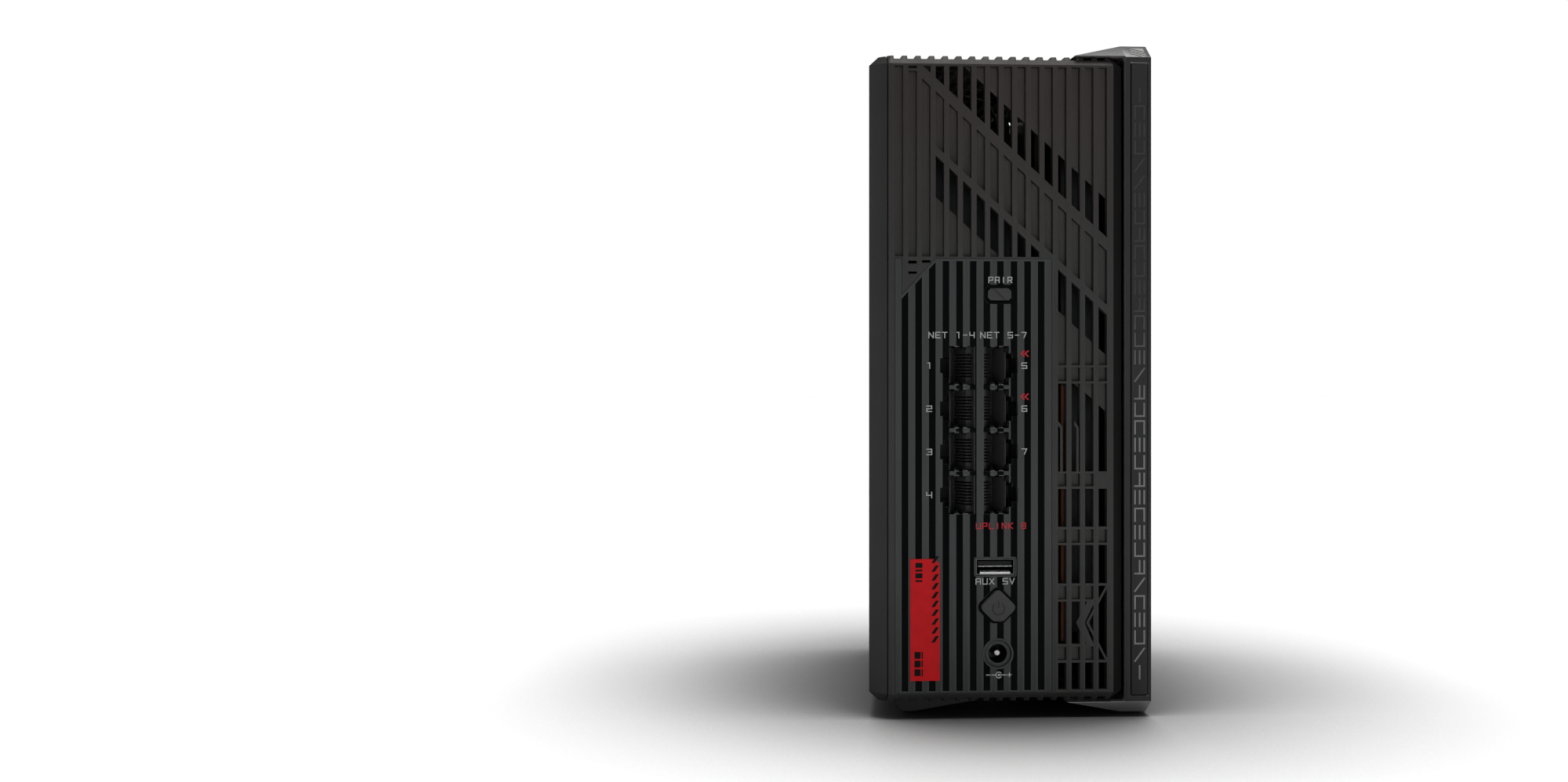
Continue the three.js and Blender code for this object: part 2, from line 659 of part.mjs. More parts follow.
// Contact wires of one column: each slopes away from the wall as it goes deeper.
function contactComb(jack, side) {
  const mouth = jack.inner - side * WIRE.near;
  const root = jack.inner - side * WIRE.far;
  const rootY = SPINE.rear + WIRE.root;
  const section = [
    [mouth, WIRE.rear],
    [mouth + WIRE.thickness, WIRE.rear],
    [root + WIRE.thickness, rootY],
    [root, rootY],
  ];
  const wires = jackRows.flatMap((z) => Array.from({ length: WIRE.count }, (_, i) => {
    const low = z + (i - (WIRE.count - 1) / 2) * CONTACT_PITCH - WIRE.height / 2;
    return prismZ(section, low, low + WIRE.height);
  }));
  return join(combSpine(jack, side, 0), wires);
}

const jackCavities = jackMouths.map((mouth) => prismY(mouth, PAST_REAR, jackFace + JACK_DEPTH));
const jackBlock = box(JACK_BLOCK.left, JACK_BLOCK.right, jackFace, JACK_BLOCK.back, jackLow, jackHigh);
const combChannels = [combSpine(LEFT_JACK, 1, SPINE.slack), combSpine(RIGHT_JACK, -1, SPINE.slack)];
addPiece('jack_housing', cut(jackBlock, jackCavities, combChannels), GLOSS_BLACK);
addPiece('jack_contacts_left', contactComb(LEFT_JACK, 1), GOLD);
addPiece('jack_contacts_right', contactComb(RIGHT_JACK, -1), GOLD);

// Open-ended box section along Y.
function sleeve(x0, x1, y0, y1, z0, z1, wall) {
  return cut(box(x0, x1, y0, y1, z0, z1), box(x0 + wall, x1 - wall, -FAR, FAR, z0 + wall, z1 - wall));
}

const SHIELD = { gap: 0.15, wall: 0.35, back: JACK_BLOCK.back - 1 };
const shieldGrow = SHIELD.gap + SHIELD.wall;
addPiece(
  'jack_shield',
  sleeve(
    JACK_BLOCK.left - shieldGrow,
    JACK_BLOCK.right + shieldGrow,
    jackFace,
    SHIELD.back,
    jackLow - shieldGrow,
    jackHigh + shieldGrow,
    SHIELD.wall,
  ),
  STEEL,
);

// ---------------------------------------------------------------- USB socket and power inlet

const USB_SHELL = { width: 12.75, height: 5.3, wall: 0.35, rear: REAR + 0.1, front: -58 };
const usbX = [USB.x - USB_SHELL.width / 2, USB.x + USB_SHELL.width / 2];
const usbZ = [USB.z - USB_SHELL.height / 2, USB.z + USB_SHELL.height / 2];
addPiece(
  'usb_shell',
  sleeve(...usbX, USB_SHELL.rear, USB_SHELL.front, ...usbZ, USB_SHELL.wall),
  STEEL,
);
const TONGUE = { half: 5.6, low: 49.6, high: 51.1, rear: -71.8, root: -60.5, slack: 0.6 };
const tongueRoot = box(
  usbX[0] + TONGUE.slack,
  usbX[1] - TONGUE.slack,
  TONGUE.root,
  USB_SHELL.front,
  usbZ[0] + TONGUE.slack,
  usbZ[1] - TONGUE.slack,
);
const tongueX = [USB.x - TONGUE.half, USB.x + TONGUE.half];
const tongue = box(...tongueX, TONGUE.rear, USB_SHELL.front, TONGUE.low, TONGUE.high);
addPiece('usb_tongue', join(tongue, tongueRoot), GLOSS_BLACK);

const INLET_BODY = { rear: REAR + 0.4, front: -58, floor: -62, half: 4.9 };
const INLET_PIN = { radius: 1.2, length: 9, shoulder: 8.2, nose: 0.9 };
const inletBlock = box(
  INLET.x - INLET_BODY.half,
  BOARD.left - GAP,
  jackFace,
  INLET_BODY.front,
  INLET.z - INLET_BODY.half,
  INLET.z + INLET_BODY.half,
);
const inletCollar = rodY(INLET.x, INLET.z, INLET.face, INLET_BODY.rear, INLET_BODY.floor);
const inletBore = rodY(INLET.x, INLET.z, INLET.bore, PAST_REAR, INLET_BODY.floor);
addPiece('dc_jack_body', cut(join(inletBlock, inletCollar), inletBore), GLOSS_BLACK);
const inletPin = new THREE.LatheGeometry(
  [
    new THREE.Vector2(0, 0),
    new THREE.Vector2(INLET_PIN.radius, 0),
    new THREE.Vector2(INLET_PIN.radius, INLET_PIN.shoulder),
    new THREE.Vector2(INLET_PIN.nose, INLET_PIN.length),
    new THREE.Vector2(0, INLET_PIN.length),
  ],
  SIDES.bore,
);
inletPin.rotateX(Math.PI);
inletPin.translate(INLET.x, INLET_BODY.floor - GAP, INLET.z);
addPiece('dc_jack_pin', solid(inletPin), STEEL);

// ---------------------------------------------------------------- buttons and their switches

const FLANGE_THICKNESS = 1;
const STEM_RADIUS = 1.5;
const flangeRear = panelBack + GAP;

// Button cap with the flange that keeps it behind the panel and the stem that reaches its switch.
function stemmedButton(button, shape) {
  const flangeBack = flangeRear + FLANGE_THICKNESS;
  return join(
    prismY(shape.face, REAR - button.proud, flangeBack),
    prismY(shape.flange, flangeRear, flangeBack),
    rodY(button.x, button.z, STEM_RADIUS, flangeRear, button.stemEnd, SIDES.pin),
  );
}

addPiece('power_button', stemmedButton(POWER, POWER_SHAPE), CASE);

const SLASH = { half: 0.25, reach: 2.05, height: 1.95, depth: 0.3 };
const slash = [
  [PAIRING.x - SLASH.reach + SLASH.half, PAIRING.z + SLASH.height],
  [PAIRING.x - SLASH.reach - SLASH.half, PAIRING.z + SLASH.height],
  [PAIRING.x + SLASH.reach - SLASH.half, PAIRING.z - SLASH.height],
  [PAIRING.x + SLASH.reach + SLASH.half, PAIRING.z - SLASH.height],
];
const slashGroove = prismY(slash, PAST_REAR, REAR - PAIRING.proud + SLASH.depth);
addPiece('pairing_button', cut(stemmedButton(PAIRING, PAIRING_SHAPE), slashGroove), CASE);

const SWITCH = { reach: 4, length: 7, plunger: 0.8, radius: 1.8 };

// Push switch on the board's edge, a gap and the button's travel behind its stem.
function pushSwitch(button, halfHeight) {
  const plungerRear = button.stemEnd + button.travel + GAP;
  const face = plungerRear + SWITCH.plunger;
  const front = face + SWITCH.length;
  return join(
    box(button.x - SWITCH.reach, BOARD.left - GAP, face, front, button.z - halfHeight, button.z + halfHeight),
    rodY(button.x, button.z, SWITCH.radius, plungerRear, front, SIDES.pin),
  );
}

addPiece('power_switch', pushSwitch(POWER, 4.5), GLOSS_BLACK);
addPiece('pairing_switch', pushSwitch(PAIRING, 3), GLOSS_BLACK);

// ---------------------------------------------------------------- side cover with the fin

const finEnd = [
  [REAR, FIN_END.low],
  [REAR + FIN_END.slant, GROUND_GAP],
  [-REAR - FIN_END.slant, GROUND_GAP],
  [-REAR, FIN_END.low],
  [-REAR, FIN_END.high],
  [-REAR - FIN_END.slant, TOP],
  [REAR + FIN_END.slant, TOP],
  [REAR, FIN_END.high],
];
const WING = { top: 20.8, bottom: 18, topZ: BODY_TOP + GAP, bottomZ: BODY_LOW - GAP, root: FIN_LEFT + 1 };
const wingOutlines = [
  [[WING.top, WING.topZ], [WING.root, WING.topZ], [WING.root, TOP], [FIN_LEFT, TOP]],
  [[WING.bottom, WING.bottomZ], [FIN_LEFT, GROUND_GAP], [WING.root, GROUND_GAP], [WING.root, WING.bottomZ]],
];
const wings = wingOutlines.map((points) => prismY(points, REAR, -REAR));
const wingBlock = join(wings).intersect(prismX(finEnd, 0, RIGHT));
const finCavity = prismX(inset(finEnd, WALL), FIN_LEFT - 1, RIGHT - WALL)
  .intersect(box(0, FAR, REAR + WALL, FAR, WING.bottomZ, WING.topZ));

// The pocket in the fin's rear face, or the strip that fills it with some slack all round.
function finGroove(slack, rear) {
  return box(
    FIN_GROOVE.left + slack,
    FIN_GROOVE.right - slack,
    rear,
    REAR + FIN_GROOVE.depth - slack,
    FIN_END.low + FIN_GROOVE.end + slack,
    FIN_END.high - FIN_GROOVE.end - slack,
  );
}

const PAD = { left: 38.6, right: 44.6, length: 26, start: 34, thickness: 1, slack: 0.2 };
const padRanges = { rear: [-PAD.start - PAD.length, -PAD.start], front: [PAD.start, PAD.start + PAD.length] };

// A rubber pad under the fin, or with slack the pocket that holds it.
function finPad([y0, y1], slack) {
  const low = slack > 0 ? -FAR : 0;
  return box(PAD.left - slack, PAD.right + slack, y0 - slack, y1 + slack, low, PAD.thickness + slack);
}

const padPockets = Object.values(padRanges).map((range) => finPad(range, PAD.slack));
const coverBlock = join(prismX(finEnd, FIN_LEFT, RIGHT), wingBlock);
const rightGrooves = sideGrooves(RIGHT - SIDE_GROOVE.depth, FAR);
addPiece('right_cover', cut(coverBlock, finCavity, finGroove(0, PAST_REAR), padPockets, rightGrooves), SIDE);
addPiece('fin_insert', finGroove(FIN_GROOVE.slack, REAR), SIDE);
Object.entries(padRanges).forEach(([end, range]) => addPiece(`right_pad_${end}`, finPad(range, 0), RUBBER));

// ---------------------------------------------------------------- left foot

// Section at the rear end of the left side; the foot and its pad lean with that side.
const footSection = [
  [-39.4, BODY_LOW - GAP],
  [-37.3, 2.6],
  [-35.5, GROUND_GAP],
  [-31.3, GROUND_GAP],
  [-9.9, 3.8],
  [-9.9, BODY_LOW - GAP],
];
const FOOT_END = 61;
const FOOT_PAD = { left: -34.9, right: -31.9, end: 50 };

function footPad(slack, low) {
  const end = FOOT_PAD.end + slack;
  return box(FOOT_PAD.left - slack, FOOT_PAD.right + slack, -end, end, low, PAD.thickness + slack);
}

const footBlock = prismY(footSection, -FOOT_END, FOOT_END);
addPiece('left_foot', leaning(cut(footBlock, footPad(PAD.slack, -FAR))), SIDE);
addPiece('left_foot_pad', leaning(footPad(0, 0)), RUBBER);

// ---------------------------------------------------------------- circuit board and its carrier

const SCREWS = [[-50, 18], [44, 18], [-50, 194], [44, 194]];
const SCREW = { hole: 1.6, shank: 1.25, head: 2.7, length: 5.2, headHeight: 1.6, boss: 3.4 };
const boardHoles = SCREWS.map(([y, z]) => rodX(y, z, SCREW.hole, -FAR, FAR));
const boardPlate = box(BOARD.left, BOARD.right, BOARD.rear, BOARD.front, BOARD.low, BOARD.high);
addPiece('main_board', cut(boardPlate, boardHoles), CIRCUIT);

const CARRIER = { left: 8.9, right: 10.9, rear: -66, front: 64, low: 9, high: 203 };
const CARRIER_WINDOW = { rear: -54, front: 38, low: 24, high: 188 };
const carrierPlate = cut(
  box(CARRIER.left, CARRIER.right, CARRIER.rear, CARRIER.front, CARRIER.low, CARRIER.high),
  box(0, FAR, CARRIER_WINDOW.rear, CARRIER_WINDOW.front, CARRIER_WINDOW.low, CARRIER_WINDOW.high),
);
const bosses = SCREWS.map(([y, z]) => rodX(y, z, SCREW.boss, BOARD.right + GAP, CARRIER.right));
const bossHoles = SCREWS.map(([y, z]) => rodX(y, z, SCREW.shank + GAP / 2, -FAR, FAR));
addPiece('board_carrier', cut(join(carrierPlate, bosses), bossHoles), CHANNEL);

const headRight = BOARD.left - GAP;
SCREWS.forEach(([y, z], i) => {
  const headLeft = headRight - SCREW.headHeight;
  const head = rodX(y, z, SCREW.head, headLeft, headRight, SIDES.screw);
  const shank = rodX(y, z, SCREW.shank, headLeft, headRight + SCREW.length, SIDES.screw);
  addPiece(`board_screw_${i + 1}`, join(head, shank), STEEL);
});

// ---------------------------------------------------------------- shielding cans, heat sinks, spreader

const UPPER_CAN = { left: 2.6, rear: -40, front: 10, low: 146, high: 184 };
const LOWER_CAN = { right: 9.2, rear: -40, front: 20, low: 60, high: 120 };
addPiece(
  'rf_shield_upper',
  box(UPPER_CAN.left, BOARD.left - GAP, UPPER_CAN.rear, UPPER_CAN.front, UPPER_CAN.low, UPPER_CAN.high),
  STEEL,
);
addPiece(
  'rf_shield_lower',
  box(BOARD.right + GAP, LOWER_CAN.right, LOWER_CAN.rear, LOWER_CAN.front, LOWER_CAN.low, LOWER_CAN.high),
  STEEL,
);

const SINK = { base: 2, blade: 1.2 };
const LEFT_SINK = { base: 2.3, tip: -26, rear: -58, front: 28, low: 146, high: 186, blades: 10 };
const RIGHT_SINK = { base: 18.9, tip: 31, rear: -60, front: 36, low: 26, high: 184, blades: 11 };

// Comb outline in X and Y: a base plate with blades that reach from it to the tip.
function finnedSink({ base, tip, rear, front, low, high, blades }) {
  const side = Math.sign(tip - base);
  const root = base + side * SINK.base;
  const pitch = (front - rear - SINK.blade) / (blades - 1);
  const teeth = Array.from({ length: blades }, (_, i) => rear + pitch * i).flatMap((y) => [
    [root, y],
    [tip, y],
    [tip, y + SINK.blade],
    [root, y + SINK.blade],
  ]);
  const points = [[base, rear], ...teeth.slice(1, -1), [base, front]];
  return prismZ(side > 0 ? points : points.reverse(), low, high);
}

addPiece('heatsink_left', finnedSink(LEFT_SINK), ALUMINIUM);
addPiece('heatsink_right', finnedSink(RIGHT_SINK), ALUMINIUM);

// Copper plate behind the lower openings, with the block that presses on the lower can's place on the board.
const SPREADER = { left: 17.5, right: 18.6, rear: -67, front: 34, low: 24, high: 108 };
const SPREADER_BLOCK = { left: 9.5, rear: -30, front: 10, low: 70, high: 104 };
addPiece(
  'heat_spreader',
  join(
    box(SPREADER.left, SPREADER.right, SPREADER.rear, SPREADER.front, SPREADER.low, SPREADER.high),
    box(
      SPREADER_BLOCK.left,
      SPREADER.right,
      SPREADER_BLOCK.rear,
      SPREADER_BLOCK.front,
      SPREADER_BLOCK.low,
      SPREADER_BLOCK.high,
    ),
  ),
  COPPER,
);

// ---------------------------------------------------------------- antennas and their leads

const ANTENNA = { thickness: 1, width: 12, low: 140, high: 190 };
const LEAD = { radius: 0.65, crest: 207, sides: 6, steps: 18, solder: 6, curl: 0.2 };
const LEAD_SITE = { offset: 18, shift: -6 }; // where the leads meet the board, along Y
const antennaSites = [
  { x: -37.4, y: -44, start: 4.15 },
  { x: -24.4, y: 44, start: 4.15 },
  { x: 33.1, y: -44, start: 7.5 },
  { x: 33.1, y: 44, start: 7.5 },
];

function circle(radius, sides) {
  return Array.from({ length: sides }, (_, i) => {
    const angle = (2 * Math.PI * i) / sides;
    return [radius * Math.cos(angle), radius * Math.sin(angle)];
  });
}

function leadTube(site, board) {
  const middle = (site.start + site.x) / 2;
  const curve = new THREE.CatmullRomCurve3(
    [
      new THREE.Vector3(site.start, board, BOARD.high - LEAD.solder),
      new THREE.Vector3(site.start, board, BOARD.high),
      new THREE.Vector3(site.start + (middle - site.start) * LEAD.curl, board, LEAD.crest),
      new THREE.Vector3(middle, (board + site.y) / 2, LEAD.crest + 1),
      new THREE.Vector3(site.x - (site.x - middle) * LEAD.curl, site.y, LEAD.crest),
      new THREE.Vector3(site.x, site.y, ANTENNA.high + LEAD.solder),
      new THREE.Vector3(site.x, site.y, ANTENNA.high + GAP),
    ],
    false,
    'centripetal',
  );
  const section = outline(circle(LEAD.radius, LEAD.sides));
  const options = { steps: LEAD.steps, bevelEnabled: false, extrudePath: curve, curveSegments: 1 };
  return solid(new THREE.ExtrudeGeometry(section, options));
}

antennaSites.forEach((site, i) => {
  const x0 = site.x - ANTENNA.thickness / 2;
  const y0 = site.y - ANTENNA.width / 2;
  const plate = box(x0, x0 + ANTENNA.thickness, y0, y0 + ANTENNA.width, ANTENNA.low, ANTENNA.high);
  addPiece(`antenna_${i + 1}`, plate, CIRCUIT);
  const board = Math.sign(site.y) * LEAD_SITE.offset + LEAD_SITE.shift;
  addPiece(`antenna_lead_${i + 1}`, leadTube(site, board), RUBBER);
});

export default router;
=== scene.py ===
"""Looks of the tower wireless router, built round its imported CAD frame.

The frame is in metres, +Z up, with the socket face towards -Y. Sizes below are in millimetres and are
turned into metres by mm() or by the mesh helpers.
"""

import json
import math

import bmesh
import bpy
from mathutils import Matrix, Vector


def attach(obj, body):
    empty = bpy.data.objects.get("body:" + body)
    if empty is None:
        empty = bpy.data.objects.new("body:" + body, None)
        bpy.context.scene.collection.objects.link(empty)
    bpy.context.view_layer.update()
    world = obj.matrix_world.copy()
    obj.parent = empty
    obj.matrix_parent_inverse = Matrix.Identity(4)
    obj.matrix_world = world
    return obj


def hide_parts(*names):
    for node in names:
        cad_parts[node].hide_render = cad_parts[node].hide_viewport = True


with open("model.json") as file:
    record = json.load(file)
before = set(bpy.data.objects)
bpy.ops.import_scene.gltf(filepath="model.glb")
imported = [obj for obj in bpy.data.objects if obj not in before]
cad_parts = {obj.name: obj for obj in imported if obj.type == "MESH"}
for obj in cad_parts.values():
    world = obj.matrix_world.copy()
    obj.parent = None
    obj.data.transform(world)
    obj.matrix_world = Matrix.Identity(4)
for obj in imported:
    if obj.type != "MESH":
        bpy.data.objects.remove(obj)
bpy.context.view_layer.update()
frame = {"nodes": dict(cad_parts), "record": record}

MM = 0.001
SLOT_OF = {row["node"]: row["material_slot"] for row in frame["record"]["subparts"]}
BODIES = frame["record"]["behaviour"]["bodies"]
HOUSING = "housing"

# Socket face: the same grid as the CAD part, in millimetres.
REAR = -73.0
RIB_PITCH = 4.455
GROOVE_FLOOR = REAR + 0.35
COLLAR_FACE = REAR + 0.6
SLOT_BOTTOM = REAR + 2.7
BEZEL_FACE = REAR - 0.3
# how far from each button's middle its bezel gets the painted shadow, in millimetres
PAIRING_SHADOW_REACH, POWER_SHADOW_REACH = 5.0, 7.3
JACK_PITCH = 13.97
JACK_TOP_ROW = 114.6
JACK_ROWS = 4
CONTACT_PITCH = 1.016
LEFT_INNER, RIGHT_INNER = -12.01, -9.31
LEFT_NOTCH, RIGHT_NOTCH = -23.51, 1.97
PAIRING = Vector((-4.13, 137.7))
USB = Vector((-5.49, 49.3))
POWER = Vector((-4.74, 36.3))
INLET = Vector((-4.59, 21.1))


def mm(*values):
    return tuple(value * MM for value in values)


# ---------------------------------------------------------------- node material helpers

GRAIN = 1800.0  # scale of the plastic's grain
GRAIN_DEPTH = 0.00003  # and its depth in metres
EDGE_RADIUS = 0.0003  # how far from an edge the lighter rim reaches, in metres; the rim is partly from rubbing and partly a painted highlight
WARMTH = (0.15, 0.195)  # heights in metres between which the case's plastic turns from neutral to warm


def new_material(name):
    material = bpy.data.materials.new(name)
    material.use_nodes = True
    tree = material.node_tree
    return material, tree, tree.nodes["Principled BSDF"]


def add(tree, kind, **values):
    node = tree.nodes.new(kind)
    for key, value in values.items():
        setattr(node, key, value)
    return node


def noise(tree, coords, scale, detail=3.0, roughness=0.55):
    node = add(tree, "ShaderNodeTexNoise")
    node.inputs["Scale"].default_value = scale
    node.inputs["Detail"].default_value = detail
    node.inputs["Roughness"].default_value = roughness
    tree.links.new(coords, node.inputs["Vector"])
    return node.outputs["Fac"]


def ramp(tree, value, low, high, from_min=0.3, from_max=0.7):
    node = add(tree, "ShaderNodeMapRange")
    node.inputs["From Min"].default_value = from_min
    node.inputs["From Max"].default_value = from_max
    node.inputs["To Min"].default_value = low
    node.inputs["To Max"].default_value = high
    tree.links.new(value, node.inputs["Value"])
    return node.outputs["Result"]


def shade(tree, base, value):
    """The base colour times a value that varies over the surface."""
    node = add(tree, "ShaderNodeMix", data_type="RGBA", blend_type="MULTIPLY")
    node.inputs["Factor"].default_value = 1.0
    if isinstance(base, tuple):
        node.inputs["A"].default_value = (*base, 1.0)
    else:
        tree.links.new(base, node.inputs["A"])
    tree.links.new(value, node.inputs["B"])
    return node.outputs["Result"]


def height_blend(tree, coords, low, high, start, end):
    """One colour at the foot of the object that turns into another between two heights in metres."""
    split = add(tree, "ShaderNodeSeparateXYZ")
    tree.links.new(coords, split.inputs["Vector"])
    return blend_colour(tree, ramp(tree, split.outputs["Z"], 0.0, 1.0, start, end), low, high)


def blend_colour(tree, factor, first, second):
    node = add(tree, "ShaderNodeMix", data_type="RGBA")
    tree.links.new(factor, node.inputs["Factor"])
    for socket, colour in (("A", first), ("B", second)):
        if isinstance(colour, tuple):
            node.inputs[socket].default_value = (*colour, 1.0)
        else:
            tree.links.new(colour, node.inputs[socket])
    return node.outputs["Result"]


def edge_mask(tree, radius):
    """0 on flat faces, rising towards 1 on edges, from the bevel-rounded normal."""
    bevel = add(tree, "ShaderNodeBevel", samples=4)
    bevel.inputs["Radius"].default_value = radius
    geometry = add(tree, "ShaderNodeNewGeometry")
    dot = add(tree, "ShaderNodeVectorMath", operation="DOT_PRODUCT")
    tree.links.new(bevel.outputs["Normal"], dot.inputs[0])
    tree.links.new(geometry.outputs["Normal"], dot.inputs[1])
    return ramp(tree, dot.outputs["Value"], 1.0, 0.0, 0.75, 0.995)


def bump(tree, shader, layers):
    """Stacks bumps: each layer is (height, distance in metres, strength)."""
    last = None
    for height, distance, strength in layers:
        node = add(tree, "ShaderNodeBump")
        node.inputs["Distance"].default_value = distance
        node.inputs["Strength"].default_value = strength
        tree.links.new(height, node.inputs["Height"])
        if last is not None:
            tree.links.new(last, node.inputs["Normal"])
        last = node.outputs["Normal"]
    tree.links.new(last, shader.inputs["Normal"])


def moulded_plastic(name, base, rough, edge_rub_and_highlight_amount=0.25, specular=0.5, foot=None):
    """Injection-moulded plastic: fine grain, slow tone drift and lighter edges, partly from rubbing and
    partly a painted highlight.

    With a foot colour, the plastic has that colour below the heights in WARMTH and the base above them.
    """
    material, tree, shader = new_material(name)
    coords = add(tree, "ShaderNodeTexCoord").outputs["Object"]
    fine = noise(tree, coords, GRAIN, 2.0)
    speck = noise(tree, coords, GRAIN * 0.35, 2.0)
    drift = noise(tree, coords, 22.0, 3.0)
    smudge = noise(tree, coords, 75.0, 5.0, 0.65)
    tone = ramp(tree, drift, 0.9, 1.1)
    colour = height_blend(tree, coords, foot, base, *WARMTH) if foot else base
    body = shade(tree, colour, tone)
    # lighter edge colour: partly rubbed edges, partly a painted highlight
    edge_rub_and_highlight = tuple(min(1.0, channel * 1.9 + 0.01) for channel in base)
    edge = edge_mask(tree, EDGE_RADIUS)
    amount = add(tree, "ShaderNodeMath", operation="MULTIPLY")
    tree.links.new(edge, amount.inputs[0])
    amount.inputs[1].default_value = edge_rub_and_highlight_amount
    tree.links.new(blend_colour(tree, amount.outputs[0], body, edge_rub_and_highlight), shader.inputs["Base Color"])
    tree.links.new(ramp(tree, smudge, rough - 0.06, rough + 0.07), shader.inputs["Roughness"])
    shader.inputs["Specular IOR Level"].default_value = specular
    bump(tree, shader, [(speck, GRAIN_DEPTH, 0.35), (fine, GRAIN_DEPTH * 0.6, 0.45)])
    return material


def gloss_plastic(name, base, rough, specular):
    """Glossy plastic with faint dust, which roughens it in places."""
    material, tree, shader = new_material(name)
    shader.inputs["Specular IOR Level"].default_value = specular
    coords = add(tree, "ShaderNodeTexCoord").outputs["Object"]
    tone = ramp(tree, noise(tree, coords, 60.0), 0.85, 1.15)
    tree.links.new(shade(tree, base, tone), shader.inputs["Base Color"])
    dust = noise(tree, coords, 900.0, 4.0, 0.7)
    tree.links.new(ramp(tree, dust, rough, rough + 0.12, 0.45, 0.8), shader.inputs["Roughness"])
    bump(tree, shader, [(noise(tree, coords, 120.0, 2.0), 0.00002, 0.12)])
    return material


def sheet_metal(name, base, rough, stretch=(1.0, 1.0, 1.0), scale=900.0):
    """Plated or rolled metal: directional grain, uneven roughness and faint dents."""
    material, tree, shader = new_material(name)
    coords = add(tree, "ShaderNodeTexCoord").outputs["Object"]
    mapping = add(tree, "ShaderNodeMapping")
    mapping.inputs["Scale"].default_value = stretch
    tree.links.new(coords, mapping.inputs["Vector"])
    lines = noise(tree, mapping.outputs["Vector"], scale, 4.0, 0.7)
    patches = noise(tree, coords, 90.0, 4.0)
    tree.links.new(shade(tree, base, ramp(tree, patches, 0.82, 1.1)), shader.inputs["Base Color"])
    shader.inputs["Metallic"].default_value = 1.0
    tree.links.new(ramp(tree, lines, rough - 0.08, rough + 0.12), shader.inputs["Roughness"])
    bump(tree, shader, [(lines, 0.00001, 0.3)])
    return material


def rubber_material(name, base):
    """Matt rubber with a blotchy tone and a coarse grain."""
    material, tree, shader = new_material(name)
    coords = add(tree, "ShaderNodeTexCoord").outputs["Object"]
    tone = ramp(tree, noise(tree, coords, 140.0, 4.0), 0.8, 1.3)
    tree.links.new(shade(tree, base, tone), shader.inputs["Base Color"])
    shader.inputs["Roughness"].default_value = 0.85
    bump(tree, shader, [(noise(tree, coords, 1400.0, 3.0), 0.00004, 0.5)])
    return material


def board_material(name):
    """Solder resist with paler tracks in a grid under it."""
    material, tree, shader = new_material(name)
    coords = add(tree, "ShaderNodeTexCoord").outputs["Object"]
    tracks = add(tree, "ShaderNodeTexBrick")
    tracks.inputs["Scale"].default_value = 160.0
    tracks.inputs["Mortar Size"].default_value = 0.03
    tracks.inputs["Color1"].default_value = (0.006, 0.022, 0.014, 1.0)
    tracks.inputs["Color2"].default_value = (0.008, 0.03, 0.018, 1.0)
    tracks.inputs["Mortar"].default_value = (0.03, 0.07, 0.03, 1.0)
    tree.links.new(coords, tracks.inputs["Vector"])
    tree.links.new(tracks.outputs["Color"], shader.inputs["Base Color"])
    shader.inputs["Roughness"].default_value = 0.4
    bump(tree, shader, [(tracks.outputs["Fac"], 0.00003, 0.4)])
    return material


def printed(name, base, rough, specular=0.2):
    """Printed ink or film: a little uneven in tone, with a faint orange-peel surface."""
    material, tree, shader = new_material(name)
    shader.inputs["Specular IOR Level"].default_value = specular
    coords = add(tree, "ShaderNodeTexCoord").outputs["Object"]
    tone = ramp(tree, noise(tree, coords, 260.0, 3.0), 0.92, 1.06)
    tree.links.new(shade(tree, base, tone), shader.inputs["Base Color"])
    gloss = ramp(tree, noise(tree, coords, 500.0), rough - 0.05, rough + 0.08)
    tree.links.new(gloss, shader.inputs["Roughness"])
    bump(tree, shader, [(noise(tree, coords, 1500.0, 2.0), 0.00001, 0.2)])
    return material


CASE_UPPER, CASE_FOOT = (0.022, 0.0185, 0.0176), (0.0225, 0.022, 0.0215)
LIT_SLOT_FLOOR_UPPER, LIT_SLOT_FLOOR_FOOT = (0.05, 0.042, 0.04), (0.047, 0.046, 0.045)
MATERIALS = {
    "case_plastic": moulded_plastic("case_plastic", CASE_UPPER, 0.55, specular=0.18, foot=CASE_FOOT),
    "cover_plastic": moulded_plastic("cover_plastic", (0.0152, 0.0152, 0.0157), 0.5, specular=0.18),
    "fin_plastic": moulded_plastic("fin_plastic", (0.016, 0.016, 0.0163), 0.5, specular=0.15),
    "channel_plastic": moulded_plastic("channel_plastic", (0.0085, 0.0085, 0.0088), 0.6, specular=0.08),
    "panel_plastic": moulded_plastic("panel_plastic", (0.0268, 0.0285, 0.028), 0.5, specular=0.2),
    "button_plastic": moulded_plastic("button_plastic", (0.0235, 0.0235, 0.0235), 0.45, specular=0.25),
    "gloss_black": gloss_plastic("gloss_black", (0.003, 0.0033, 0.0036), 0.16, 0.12),
    "foot_rubber": rubber_material("foot_rubber", (0.014, 0.014, 0.014)),
    "bright_steel": sheet_metal("bright_steel", (0.4, 0.4, 0.405), 0.3, (1.0, 0.1, 1.0)),
    "sink_aluminium": sheet_metal("sink_aluminium", (0.03, 0.032, 0.033), 0.5, (1.0, 1.0, 0.05)),
    "copper": sheet_metal("copper", (0.17, 0.07, 0.04), 0.55, (1.0, 1.0, 0.08)),
    "contact_gold": sheet_metal("contact_gold", (0.22, 0.2, 0.155), 0.22),
    "circuit_board": board_material("circuit_board"),
    "lead_jacket": rubber_material("lead_jacket", (0.01, 0.01, 0.011)),
    "label_red": printed("label_red", (0.335, 0.005, 0.007), 0.42, 0.08),
    "light_diffuser": moulded_plastic("light_diffuser", (0.55, 0.56, 0.58), 0.4, edge_rub_and_highlight_amount=0.0),
}
